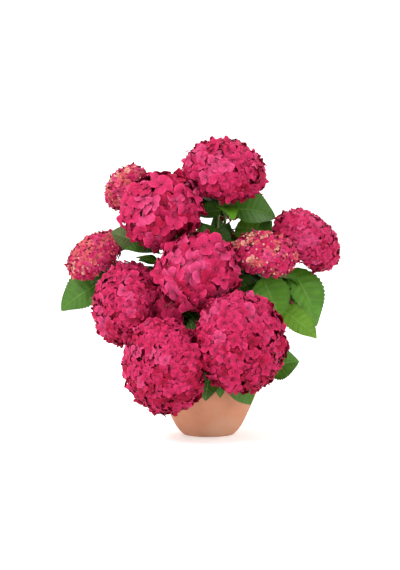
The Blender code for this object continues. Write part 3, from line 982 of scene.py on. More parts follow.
@dataclass(frozen=True)
class Head:
    """A flower head and the stem under it, or the stem alone where it has no age.

    Attributes:
        name: The name that its nodes share.
        middle: Its centre.
        heading: The compass direction that it faces, from +X towards +Y.
        pitch: How far it looks up, in degrees.
        radius: Its radius across.
        depth: Half its thickness along the way that it faces.
        age: How its florets sit.
        floret: The radius of its real florets.
        cream: How much cream is left in a young head, from 0 to 1.
    """

    name: str
    middle: Triple
    heading: float
    pitch: float
    radius: float
    depth: float
    age: Age | None
    floret: float = 0.0
    cream: float = 0.0

    @property
    def centre(self) -> Vector:
        """The head's centre."""
        return Vector(self.middle)

    @property
    def axis(self) -> Vector:
        """The unit vector that the head faces along."""
        return facing(self.heading, self.pitch)

    @property
    def collar(self) -> Vector:
        """Where the shoot ends and the head's own stalk begins."""
        return self.centre - self.axis * (self.depth * HABIT.collar_depth + HABIT.neck)

    def foot(self) -> Place:
        """Where the cane leaves the stock.

        Returns:
            A point just clear of the stock's dome, and the way that the cane runs there.
        """
        turn = math.atan2(self.middle[1], self.middle[0])
        rise = (HABIT.high_head - self.middle[2]) / (HABIT.high_head - HABIT.low_head)
        lean = HABIT.high_lean + (HABIT.low_lean - HABIT.high_lean) * min(1.0, max(0.0, rise))
        way = facing(math.degrees(turn), 90 - lean)
        skin = Vector((way.x, way.y, 0)) * HABIT.stock_radius + UP * way.z * HABIT.stock_height
        return UP * POT.soil_level + skin * HABIT.foot_reach + way * HABIT.foot_lift, way

    def point(self, share: float) -> Vector:
        """A point on the head's whole stem: a cubic curve from the stock to the collar.

        Args:
            share: How far along the curve it is, from 0 to 1.

        Returns:
            The point.
        """
        foot, way = self.foot()
        end = self.collar
        span = (end - foot).length
        leaving = (way + UP * HABIT.leaving_lift).normalized()
        entering = (self.axis + UP * HABIT.entering_lift).normalized()
        lean_out = foot + leaving * span * HABIT.leaving_lever
        enter = end - entering * span * HABIT.entering_lever
        rest = 1 - share
        curve = foot * rest**3 + lean_out * 3 * rest * rest * share
        return curve + enter * 3 * rest * share * share + end * share**3

    def way(self, share: float) -> Vector:
        """The unit vector that the stem runs along at a share of its length."""
        step = HABIT.way_step
        return (self.point(share + step) - self.point(share - step)).normalized()

    def path(self, start: float, end: float, count: int) -> list[Vector]:
        """Points along the stem between two shares of its length."""
        return [self.point(share) for share in spread(start, end, count)]

    def run(self, shares: Sequence[float]) -> tuple[list[Vector], list[Vector]]:
        """The stem's points and its ways at these shares of its length."""
        return [self.point(share) for share in shares], [self.way(share) for share in shares]

    def holds(self, point: Vector, margin: float) -> bool:
        """Tests whether a point is inside the head's spheroid.

        Args:
            point: The point.
            margin: How much larger the spheroid is taken to be.

        Returns:
            Whether it is.
        """
        offset = point - self.centre
        along = offset.dot(self.axis)
        across = (offset - self.axis * along).length
        return (along / (self.depth + margin)) ** 2 + (across / (self.radius + margin)) ** 2 < 1


HEADS = (
    Head("top", (0.032, 0.000, 0.526), -60, 72, 0.087, 0.068, OPEN, 0.0160),
    Head("upper_left", (-0.094, -0.050, 0.448), -112, 30, 0.086, 0.072, OPEN, 0.0225),
    Head("outer_upper_left", (-0.165, 0.060, 0.493), 165, 42, 0.054, 0.042, YOUNG, 0.0090, 0.35),
    Head("left", (-0.229, 0.045, 0.356), -150, 52, 0.067, 0.042, YOUNG, 0.0092, 0.25),
    Head("middle", (-0.022, -0.112, 0.331), -88, 26, 0.086, 0.068, OPEN, 0.0225),
    Head("lower_left", (-0.163, -0.050, 0.265), -150, 12, 0.088, 0.064, OPEN, 0.0138),
    Head("front_left", (-0.086, -0.160, 0.153), -130, -4, 0.096, 0.060, OPEN, 0.0126),
    Head("front_right", (0.061, -0.166, 0.199), -62, 6, 0.099, 0.061, OPEN, 0.0144),
    Head("right_young", (0.110, -0.062, 0.362), -75, 66, 0.068, 0.044, YOUNG, 0.0098, 0.50),
    Head("right", (0.199, 0.030, 0.387), -15, 50, 0.079, 0.055, OPEN, 0.0118),
    Head("back_top", (0.042, 0.135, 0.483), 80, 50, 0.066, 0.054, OPEN, 0.0180),
    Head("back_left", (-0.088, 0.120, 0.425), 110, 35, 0.066, 0.055, OPEN, 0.0188),
    Head("back_middle", (-0.056, 0.150, 0.278), 98, 14, 0.070, 0.056, OPEN, 0.0182),
    Head("back_right", (0.085, 0.150, 0.205), 62, 5, 0.072, 0.056, OPEN, 0.0186),
    Head("back_low", (-0.112, 0.140, 0.168), 132, 0, 0.068, 0.054, OPEN, 0.0172),
    Head("back_upper", (0.050, 0.150, 0.345), 75, 30, 0.062, 0.050, OPEN, 0.0176),
    Head("back_outer_right", (0.150, 0.115, 0.285), 30, 30, 0.052, 0.040, YOUNG, 0.0094, 0.60),
    Head("low_front", (0.010, -0.118, 0.166), -85, 0, 0, 0, None),
    Head("low_right", (0.104, -0.046, 0.172), -22, 12, 0, 0, None),
)
BLOOMS = [head for head in HEADS if head.age]


@dataclass(frozen=True)
class LeafHabit:
    """How leaves are shaped and where they may grow, as in the frame's solids."""

    stations: Pair = (0.26, 0.66)
    thickness: float = 0.015
    fold: float = 16
    camber: float = 0.09
    ratio: float = 0.66
    belly: float = 0.72
    roundness: float = 0.85
    widest: float = 0.45
    petiole_radius: float = 0.0017
    petiole_ratio: float = 0.26
    petiole_overlap: float = 0.16
    petiole_start: float = 0.0006
    petiole_sink: float = 0.0007
    petiole_taper: Triple = (1.1, 0.9, 0.5)
    lowest: float = 0.46
    highest: float = 0.97
    root_choice: int = 40
    pair_spacing: float = 0.038
    first_pair: float = 0.4
    pair_wander: float = 0.2
    stem_step: float = 0.01
    rising: Triple = (0.85, 0.4, 0.15)
    forward: float = 0.25
    droop: Pair = (0.1, 0.7)
    top_leaf: float = 0.080
    growth: float = 0.010
    clearance: float = 0.0012
    head_clearance: float = 0.002
    pot_clearance: float = 0.002
    rim_clearance: float = 0.006
    stock_clearance: float = 0.004
    stock_sink: float = 0.006
    asides: tuple[int, ...] = (0, 20, -20, 40, -40, 65, -65, 90, -90, 120, -120)
    sizes: tuple[float, ...] = (1, 0.84, 0.7)
    outline_share: float = 0.94
    between: int = 9
    between_reach: Pair = (0.22, 0.94)
    between_sizes: Pair = (0.050, 0.085)
    view_point: Triple = (-0.017, -2.996, 0.456)


LEAVES = LeafHabit()


@dataclass(frozen=True)
class Leaf:
    """One leaf: where its stalk leaves the stem, its blade's two ends, width and upper face."""

    root: Vector
    base: Vector
    tip: Vector
    width: float
    face: Vector
    tone: LeafTone = MIDDLE

    def axes(self) -> tuple[float, Vector, Vector, Vector]:
        """How the blade lies.

        Returns:
            Its length, the way it runs, the way across it and the way its face looks.
        """
        chord = self.tip - self.base
        along = chord.normalized()
        normal = (self.face - along * self.face.dot(along)).normalized()
        return chord.length, along, normal.cross(along), normal

    def half_width(self, share: float) -> float:
        """Half of the ovate blade's width, at a share of its length."""
        swell = math.sin(math.pi * min(1.0, max(0.0, share)) ** LEAVES.belly)
        return self.width / 2 * max(0.0, swell) ** LEAVES.roundness

    def midrib(self, share: float) -> Vector:
        """A point on the arching midrib.

        Args:
            share: How far along the blade it is, from 0 to 1.

        Returns:
            The point.
        """
        length, along, _, normal = self.axes()
        arch = 4 * LEAVES.camber * length * share * (1 - share)
        return self.base + along * length * share + normal * arch

    def solid_blade(self, extra: float = 0) -> BMesh:
        """The frame's blade, to test for room.

        Args:
            extra: How much larger it is on all sides.

        Returns:
            Its mesh.
        """
        length, _, across, normal = self.axes()
        fold = math.radians(LEAVES.fold)
        depth = normal * (LEAVES.thickness * length + extra)
        bm = bmesh.new()
        rows = []
        for share in LEAVES.stations:
            middle = self.midrib(share)
            out = self.half_width(share) + extra
            rise = normal * out * math.sin(fold)
            aside = across * out * math.cos(fold)
            corners = (middle + aside + rise, middle, middle - aside + rise, middle - depth)
            rows.append([bm.verts.new(corner) for corner in corners])
        first, last = rows
        base, tip = bm.verts.new(self.base), bm.verts.new(self.tip)
        for k in range(4):
            after = (k + 1) % 4
            bm.faces.new((first[k], first[after], base))
            bm.faces.new((last[k], last[after], tip))
            bm.faces.new((first[k], first[after], last[after], last[k]))
        return bm

    def stalk(self) -> tuple[list[Vector], list[Vector], list[float]]:
        """The line of the leaf's stalk, from the stem to under the blade.

        Returns:
            Its points, and the way it runs and its radius at each.
        """
        normal = self.axes()[3]
        neck = self.base - normal * LEAVES.petiole_sink
        hold = self.midrib(LEAVES.petiole_overlap) - normal * LEAVES.petiole_sink
        start = self.root + (self.base - self.root).normalized() * LEAVES.petiole_start
        ways = [(neck - start).normalized(), (hold - start).normalized(), (hold - neck).normalized()]
        return [start, neck, hold], ways, [LEAVES.petiole_radius * size for size in LEAVES.petiole_taper]

    def solid_stalk(self) -> BMesh:
        """The frame's leaf stalk, to test for room.

        Returns:
            Its mesh.
        """
        bm = bmesh.new()
        tube(bm, *self.stalk(), 3)
        return bm

    def outline(self) -> list[Vector]:
        """The points that stand for the whole blade.

        Returns:
            Its ends, a point near its middle, and the two edges there.
        """
        across = self.axes()[2] * self.width / 2
        middle = self.midrib(LEAVES.widest)
        return [self.base, self.tip, middle, middle + across, middle - across]


@dataclass(frozen=True)
class Reach:
    """A leaf that reaches out past the heads, given one by one."""

    shoot: str
    base: Triple
    tip: Triple
    width: float
    face: Triple
    tone: LeafTone


# The greens in these tables are partly the leaves' own tones and partly painted light and shade: darker
# greens go to some leaves that sit in shade, and lighter greens to some shaded leaves between the heads, to
# look lit.
REACHING_LEAVES = (
    Reach("left", (-0.215, 0.090, 0.300), (-0.304, 0.090, 0.240), 0.092, (-0.2, -0.8, 0.55), MIDDLE),
    Reach(
        "outer_upper_left", (-0.146, 0.015, 0.384), (-0.196, 0.015, 0.404), 0.052, (-0.1, -0.85, 0.4), OLIVE
    ),
    Reach("upper_left", (-0.097, 0.015, 0.360), (-0.164, 0.015, 0.372), 0.038, (0, -0.45, 0.9), DEEP),
    Reach("upper_left", (-0.106, 0.020, 0.340), (-0.148, 0.020, 0.352), 0.028, (0, -0.4, 1), FRESH),
    Reach("top", (0.048, 0.045, 0.450), (0.138, 0.060, 0.434), 0.090, (0.1, -0.75, 0.6), MIDDLE),
    Reach("top", (0.024, 0.002, 0.447), (-0.022, 0.004, 0.437), 0.044, (0, -0.8, 0.6), DEEP),
    Reach("top", (0.005, 0.025, 0.382), (-0.021, 0.025, 0.426), 0.034, (-0.2, -0.8, 0.3), BRIGHT),
    Reach("top", (0.011, 0.020, 0.408), (0.045, 0.020, 0.370), 0.038, (0.2, -0.9, 0.3), DEEP),
    Reach("back_top", (0.053, 0.085, 0.399), (0.137, 0.085, 0.405), 0.066, (-0.1, -0.8, 0.5), FRESH),
    Reach("right_young", (0.105, -0.050, 0.315), (0.142, -0.050, 0.230), 0.080, (-0.1, -0.85, 0.5), BRIGHT),
    Reach("right_young", (0.093, -0.040, 0.307), (0.050, -0.040, 0.287), 0.042, (-0.1, -0.85, 0.5), DEEP),
    Reach("right", (0.167, 0.050, 0.330), (0.223, 0.050, 0.212), 0.080, (0.3, -0.8, 0.5), BRIGHT),
    Reach("right", (0.143, 0.020, 0.250), (0.219, 0.015, 0.190), 0.058, (0, -0.85, 0.5), FRESH),
    Reach("low_right", (0.112, -0.062, 0.140), (0.178, -0.062, 0.152), 0.074, (0.1, -0.85, 0.4), MIDDLE),
    Reach("low_front", (0.033, -0.115, 0.146), (0.080, -0.101, 0.071), 0.080, (0.4, -0.85, 0.35), MIDDLE),
    Reach("low_front", (0.006, -0.120, 0.149), (-0.007, -0.120, 0.081), 0.052, (-0.2, -0.9, 0.3), DEEP),
    Reach("low_front", (-0.023, -0.100, 0.183), (-0.036, -0.100, 0.240), 0.036, (-0.3, -0.85, 0.2), DEEP),
    Reach("top", (-0.005, 0.070, 0.460), (-0.040, 0.090, 0.514), 0.040, (-0.2, -0.85, 0.2), DEEP),
    Reach("middle", (-0.021, -0.045, 0.236), (-0.055, -0.045, 0.246), 0.036, (0, -0.7, 0.7), FRESH),
)


# These greens, too, are partly the leaves' own tones and partly painted light and shade.
SMALL_LEAVES = (
    Reach("top", (0.021, 0.030, 0.392), (0.013, 0.030, 0.440), 0.032, (0.1, -0.9, 0.2), DEEP),
    Reach("top", (0.009, 0.005, 0.388), (-0.011, 0.005, 0.422), 0.034, (-0.1, -0.9, 0.2), MIDDLE),
    Reach("back_top", (0.034, 0.085, 0.387), (0.042, 0.085, 0.424), 0.024, (0.1, -0.9, 0.2), DEEP),
    Reach(
        "outer_upper_left", (-0.101, 0.010, 0.368), (-0.172, -0.010, 0.369), 0.036, (0, -0.75, 0.65), DEEP
    ),
    Reach(
        "outer_upper_left", (-0.102, 0.030, 0.343), (-0.142, 0.030, 0.347), 0.026, (0, -0.75, 0.65), BRIGHT
    ),
    Reach("left", (-0.182, 0.095, 0.341), (-0.206, 0.075, 0.321), 0.026, (0, -0.8, 0.5), DEEP),
    Reach("left", (-0.206, 0.080, 0.313), (-0.243, 0.080, 0.296), 0.036, (0, -0.8, 0.5), DEEP),
    Reach("lower_left", (-0.065, -0.010, 0.213), (-0.019, -0.010, 0.245), 0.034, (0.1, -0.85, 0.45), FRESH),
    Reach("right", (0.164, 0.050, 0.314), (0.178, 0.050, 0.253), 0.032, (0.1, -0.85, 0.4), BRIGHT),
    Reach("right", (0.152, 0.050, 0.314), (0.171, 0.040, 0.298), 0.022, (0.1, -0.85, 0.4), BRIGHT),
    Reach("back_top", (0.110, 0.070, 0.403), (0.130, 0.070, 0.426), 0.028, (0.1, -0.85, 0.4), BRIGHT),
    Reach("low_front", (0.021, -0.120, 0.145), (0.022, -0.108, 0.085), 0.028, (0, -0.95, 0.3), MIDDLE),
)


@dataclass(frozen=True)
class FloretRule:
    """How the frame's solid florets are spread over a head."""

    spacing: float = 1.80
    tilt: float = 0.10
    sizes: Pair = (0.92, 1.08)
    sink: float = 0.004
    margin: float = 0.8
    root_depth: float = 0.014
    underside: float = 0.85


FLORETS = FloretRule()


def solid_floret(
    centre: Vector, outward: Vector, radius: float, roll: float, bend: float, root: float
) -> BMesh:
    """One of the frame's florets: a face with four tips, narrowing to a sunk root.

    Args:
        centre: Its middle.
        outward: The way that it looks.
        radius: Its size.
        roll: How far it is turned about that way, in radians.
        bend: How far its tips bend back.
        root: How deep its root lies.

    Returns:
        Its mesh.
    """
    first, second = square_to(outward)
    bm = bmesh.new()
    tips = []
    for k in range(4):
        turn = roll + math.tau * k / 4
        way = first * math.cos(turn) + second * math.sin(turn)
        tips.append(bm.verts.new(centre + way * radius - outward * bend))
    foot = bm.verts.new(centre - outward * root)
    bm.faces.new(tips)
    for k in range(4):
        bm.faces.new((foot, tips[(k + 1) % 4], tips[k]))
    return bm


def dome(head: Head, cover: float, spacing: float, sink: float = 0, turned: float = 0) -> list[Place]:
    """Spreads places evenly over a head's spheroid.

    Args:
        head: The flower head.
        cover: How far down the head they reach, in degrees from its top.
        spacing: The distance between them.
        sink: How deep they lie.
        turned: How far they are turned about the head, in radians.

    Returns:
        Each place, and the way out from the head there.
    """
    first, second = square_to(head.axis)
    radius, depth = head.radius - sink, head.depth - sink
    shape = (radius + depth) / 2
    lowest = math.cos(math.radians(cover))
    count = round(math.tau * shape * shape * (1 - lowest) / spacing**2)
    places = []
    for k in range(count):
        level = 1 - (1 - lowest) * (k + 0.5) / count
        ring = math.sqrt(1 - level * level)
        turn = k * GOLDEN_ANGLE + turned
        way = first * ring * math.cos(turn) + second * ring * math.sin(turn)
        outward = (way / radius + head.axis * level / depth).normalized()
        places.append((head.centre + way * radius + head.axis * level * depth, outward))
    return places


def in_another(head: Head, point: Vector, margin: float = 0) -> bool:
    """Whether a point is inside, or within a margin of, a head other than this one."""
    return any(other.holds(point, margin) for other in BLOOMS if other is not head)


def solid_florets(head: Head) -> list[BMesh]:
    """All of the frame's florets on one head.

    Args:
        head: The flower head.

    Returns:
        A mesh for each floret.
    """
    age = head.age
    first, second = square_to(head.axis)
    rng = Random(head.name)
    florets = []
    for point, outward in dome(head, age.cover, FLORETS.spacing * age.floret):
        size = age.floret * rng.uniform(*FLORETS.sizes)
        tilt = first * rng.uniform(-FLORETS.tilt, FLORETS.tilt)
        tilt += second * rng.uniform(-FLORETS.tilt, FLORETS.tilt)
        lean = (outward + tilt).normalized()
        point -= outward * rng.uniform(0, FLORETS.sink)
        bend = size * size / (2 * head.depth)
        roll = rng.uniform(0, math.tau)
        if not in_another(head, point, size * FLORETS.margin):
            florets.append(solid_floret(point, lean, size, roll, bend, age.stand + FLORETS.root_depth))
    return florets


def head_space(head: Head) -> BMesh:
    """The space that a head fills: its spheroid, with fuller sides and a flatter underside.

    Args:
        head: The flower head.

    Returns:
        A mesh of it.
    """
    first, second = square_to(head.axis)
    bm = bmesh.new()
    bmesh.ops.create_icosphere(bm, subdivisions=3, radius=1)
    for vertex in bm.verts:
        x, y, z = vertex.co
        fuller = 1 if z > 0 else min(head.age.skirt, 1 / max(0.01, math.hypot(x, y)))
        across = (first * x + second * y) * (head.radius + LEAVES.head_clearance) * fuller
        up = head.axis * max(z, -FLORETS.underside) * (head.depth + LEAVES.head_clearance)
        vertex.co = head.centre + across + up
    return bm


def pot_space() -> BMesh:
    """The space of the pot and its compost, a little larger than they are.

    Returns:
        A mesh of it.
    """
    bm = bmesh.new()
    depth = POT.height + LEAVES.pot_clearance
    bmesh.ops.create_cone(
        bm,
        cap_ends=True,
        segments=32,
        radius1=POT.outside(0),
        radius2=POT.outside(POT.rim_bottom) + POT.rim_step + LEAVES.rim_clearance,
        depth=depth,
        matrix=Matrix.Translation(UP * depth / 2),
    )
    return bm


def stock_space() -> BMesh:
    """The space of the woody stock, a little larger than it is.

    Returns:
        A mesh of it.
    """
    bm = bmesh.new()
    bmesh.ops.create_icosphere(bm, subdivisions=2, radius=HABIT.stock_radius + LEAVES.stock_clearance)
    bmesh.ops.translate(bm, verts=bm.verts, vec=(0, 0, POT.soil_level - LEAVES.stock_sink))
    return bm


def solid_stem(head: Head, start: float, end: float, radii: Sequence[float]) -> BMesh:
    """One of the frame's limbs, a part of a stem.

    Args:
        head: The head that the stem leads to.
        start: The share of the stem's length where the limb begins.
        end: The share where it ends.
        radii: Its radii from there to there.

    Returns:
        Its mesh.
    """
    bm = bmesh.new()
    tube(bm, *head.run(spread(start, end, len(radii))), radii, HABIT.sides)
    return bm


def solid_cane(head: Head) -> BMesh:
    """The frame's cane under a head."""
    radii = spread(HABIT.cane_radius, HABIT.shoot_radius, HABIT.cane_rings)
    return solid_stem(head, 0, HABIT.cane_share, radii)


def solid_shoot(head: Head) -> BMesh:
    """The frame's shoot under a head, without its leaves."""
    radii = spread(HABIT.shoot_radius, HABIT.tip_radius, HABIT.shoot_rings)
    return solid_stem(head, HABIT.cane_share, 1, radii)


class Growth:
    """Grows the leaves one by one, and knows what is in the way of the next."""

    def __init__(self) -> None:
        """Fills the space with the pot, the stems and the flower heads."""
        self.blocks = [("pot", tree_of(pot_space())), ("stock", tree_of(stock_space()))]
        for head in HEADS:
            self.blocks.append(("cane_" + head.name, tree_of(solid_cane(head))))
            self.blocks.append((head.name, tree_of(solid_shoot(head))))
        for head in BLOOMS:
            for solid in [head_space(head)] + solid_florets(head):
                self.blocks.append(("head_" + head.name, tree_of(solid)))
        self.leaves: dict[str, list[Leaf]] = {head.name: [] for head in HEADS}

    def blocked(self, leaf: Leaf, own: Sequence[str]) -> bool:
        """Tests whether a leaf would touch anything but its own stem and that stem's leaf stalks.

        Args:
            leaf: The leaf.
            own: The names of what it may touch.

        Returns:
            Whether it would.
        """
        trees = [tree_of(leaf.solid_blade(LEAVES.clearance)), tree_of(leaf.solid_stalk())]
        return any(
            name not in own and any(tree.overlap(block) for tree in trees)
            for name, block in self.blocks
        )

    def add(self, leaf: Leaf, shoot: str) -> None:
        """Keeps a leaf, which is then in the way of others.

        Args:
            leaf: The leaf.
            shoot: The name of the shoot that it is on.
        """
        self.leaves[shoot].append(leaf)
        self.blocks.append(("leaf of " + shoot, tree_of(leaf.solid_blade())))
        self.blocks.append((shoot, tree_of(leaf.solid_stalk())))

    def as_seen(self, point: Vector) -> Vector:
        """Where a point appears on the upright plane through the origin, from the front."""
        eye = Vector(LEAVES.view_point)
        return eye.lerp(point, eye.y / (eye.y - point.y))

    def behind_heads(self, point: Vector) -> bool:
        """Tests whether a point lies inside the outline that the heads make from the front.

        Args:
            point: The point.

        Returns:
            Whether it does.
        """
        spot = self.as_seen(point)
        for head in BLOOMS:
            seen = self.as_seen(head.centre)
            x, z = spot.x - seen.x, spot.z - seen.z
            wide = head.radius**2
            change = head.depth**2 - wide
            xx = wide + change * head.axis.x**2
            zz = wide + change * head.axis.z**2
            xz = change * head.axis.x * head.axis.z
            if x * x * zz - 2 * x * z * xz + z * z * xx < LEAVES.outline_share * (xx * zz - xz * xz):
                return True
        return False

    def reach_out(self, table: Sequence[Reach]) -> None:
        """Grows a table's leaves, each from the nearest point of its shoot.

        Args:
            table: The leaves.
        """
        heads = {head.name: head for head in HEADS}
        for reach in table:
            base = Vector(reach.base)
            path = heads[reach.shoot].path(LEAVES.lowest, LEAVES.highest, LEAVES.root_choice)
            root = min(path, key=lambda point: (point - base).length)
            leaf = Leaf(root, base, Vector(reach.tip), reach.width, Vector(reach.face), reach.tone)
            if not self.blocked(leaf, [reach.shoot]):
                self.add(leaf, reach.shoot)

    def pair_leaf(self, head: Head, share: float, turn: float, length: float, droop: float) -> Leaf:
        """Shapes a leaf that leaves its stem outwards and up, and whose blade sinks to its tip.

        Args:
            head: The head whose stem the leaf is on.
            share: Where on the stem it is.
            turn: The way that it leaves the stem, round the stem.
            length: Its blade's length.
            droop: How far its blade sinks.

        Returns:
            The leaf.
        """
        root = head.point(share)
        up_stem = (head.point(share + LEAVES.stem_step) - root).normalized()
        first, second = square_to(up_stem)
        out = first * math.cos(turn) + second * math.sin(turn)
        outwards, upwards, lift = LEAVES.rising
        rise = (out * outwards + up_stem * upwards + UP * lift).normalized()
        base = root + rise * LEAVES.petiole_ratio * length
        way = (out + up_stem * LEAVES.forward - UP * droop).normalized()
        return Leaf(root, base, base + way * length, length * LEAVES.ratio, UP)

    def place(
        self, head: Head, share: float, turn: float, length: float, droop: float, own: Sequence[str]
    ) -> None:
        """Tries a leaf as it is, then turned aside or smaller. Past that there is no leaf.

        Args:
            head: The head whose stem the leaf is on.
            share: Where on the stem it is.
            turn: The way that it leaves the stem, round the stem.
            length: Its blade's length.
            droop: How far its blade sinks.
            own: The names of what it may touch.
        """
        for size in LEAVES.sizes:
            for aside in LEAVES.asides:
                leaf = self.pair_leaf(head, share, turn + math.radians(aside), length * size, droop)
                hidden = all(self.behind_heads(point) for point in leaf.outline())
                if hidden and not self.blocked(leaf, own):
                    self.add(leaf, head.name)
                    return

    def grow_pairs(self) -> None:
        """Grows crossed pairs of leaves down each shoot, larger lower down."""
        for head in HEADS:
            rng = Random("pairs " + head.name)
            path = head.path(0, 1, 20)
            step = LEAVES.pair_spacing / sum((b - a).length for a, b in zip(path, path[1:]))
            share = 1 - step * LEAVES.first_pair
            turn = rng.uniform(0, math.tau)
            length = LEAVES.top_leaf
            while share > LEAVES.lowest:
                for side in (0, math.pi):
                    self.place(head, share, turn + side, length, rng.uniform(*LEAVES.droop), [head.name])
                share -= step
                turn += math.pi / 2 + rng.uniform(-LEAVES.pair_wander, LEAVES.pair_wander)
                length += LEAVES.growth

    def fill_in(self) -> None:
        """Adds smaller leaves down each stem, between the pairs."""
        for head in HEADS:
            rng = Random("between " + head.name)
            own = [head.name, "cane_" + head.name]
            for share in spread(*LEAVES.between_reach, LEAVES.between):
                turn = rng.uniform(0, math.tau)
                length = rng.uniform(*LEAVES.between_sizes)
                self.place(head, share, turn, length, rng.uniform(*LEAVES.droop), own)


# ---- wood
@dataclass
class Wood:
    """The woody stock and the canes, with their bark.

    Attributes:
        sides: How many sides a cane's ring has.
        rings: How many rings a cane has.
        ends: How far a cane runs past its solid at each end, as a share of its stem.
        flare: How much wider a cane's foot is.
        flare_fade: The share of a stem over which its foot narrows.
        ridge: The depth of the bark's ridges, as a share of the radius.
        ridge_grain: The ridges' scale on each axis, per metre.
        joint_spacing: The distance between a cane's old leaf joints.
        joint_swell: How much thicker a cane is at a joint.
        joint_length: How long that swelling is, as a share of the spacing.
        stock_cut: The height below which the stock's ball is cut off, in radii.
        stock_fit: How much of its solid's size the stock has.
        lobes: How far the stock's three lobes stand out.
        knots: How far its knots stand out.
        knot_grains: The scale of the large knots and of the small, per radius.
    """

    sides: int = 12
    rings: int = 36
    ends: Pair = (0.02, 0.004)
    flare: float = 0.54
    flare_fade: float = 0.10
    ridge: float = 0.09
    ridge_grain: Triple = (420, 420, 70)
    joint_spacing: float = 0.034
    joint_swell: float = 0.18
    joint_length: float = 0.09
    stock_cut: float = -0.3
    stock_fit: float = 0.95
    lobes: float = 0.10
    knots: float = 0.14
    knot_grains: Pair = (3.4, 9)

    def cane(self, head: Head) -> Object:
        """Grows one cane, with ridged bark, old leaf joints and a swollen foot.

        Args:
            head: The head that the cane leads to.

        Returns:
            The cane's piece.
        """
        shares = spread(-self.ends[0], HABIT.cane_share + self.ends[1], self.rings)
        narrowing = (HABIT.shoot_radius - HABIT.cane_radius) / HABIT.cane_share
        path, ways = head.run(shares)
        radii = []
        run = 0.0
        for share, before, after in zip(shares, path[:1] + path, path):
            run += (after - before).length
            plain = HABIT.cane_radius + narrowing * share
            off_joint = ((run / self.joint_spacing) % 1 - 0.5) / self.joint_length
            joint = self.joint_swell * math.exp(-(off_joint**2))
            radii.append(plain * (1 + self.flare * math.exp(-share / self.flare_fade) + joint))
        bm = bmesh.new()
        for ring, point in zip(tube(bm, path, ways, radii, self.sides), path):
            for vertex in ring:
                spot = Vector([part * grain for part, grain in zip(vertex.co, self.ridge_grain)])
                vertex.co = point + (vertex.co - point) * (1 + self.ridge * noise.noise(spot))
        return piece(bm, "bark_" + head.name, [BARK], "cane_" + head.name)

    def stock(self) -> Object:
        """Shapes the gnarled stock that the canes rise from.

        Returns:
            The stock's piece.
        """
        bm = bmesh.new()
        bmesh.ops.create_icosphere(bm, subdivisions=5, radius=1)
        below = [vertex for vertex in bm.verts if vertex.co.z < self.stock_cut]
        bmesh.ops.delete(bm, geom=below, context="VERTS")
        bmesh.ops.holes_fill(bm, edges=[edge for edge in bm.edges if edge.is_boundary])
        for vertex in bm.verts:
            x, y, z = vertex.co
            large, small = (noise.noise(vertex.co * grain) for grain in self.knot_grains)
            lobe = self.lobes * math.sin(3 * math.atan2(y, x))
            swell = self.stock_fit * (1 + lobe + self.knots * (large + 0.5 * small))
            out, up = HABIT.stock_radius * swell, HABIT.stock_height * swell
            vertex.co = Vector((x * out, y * out, POT.soil_level + z * up))
        return piece(bm, "woody_stock", [OLD_WOOD], "stock")


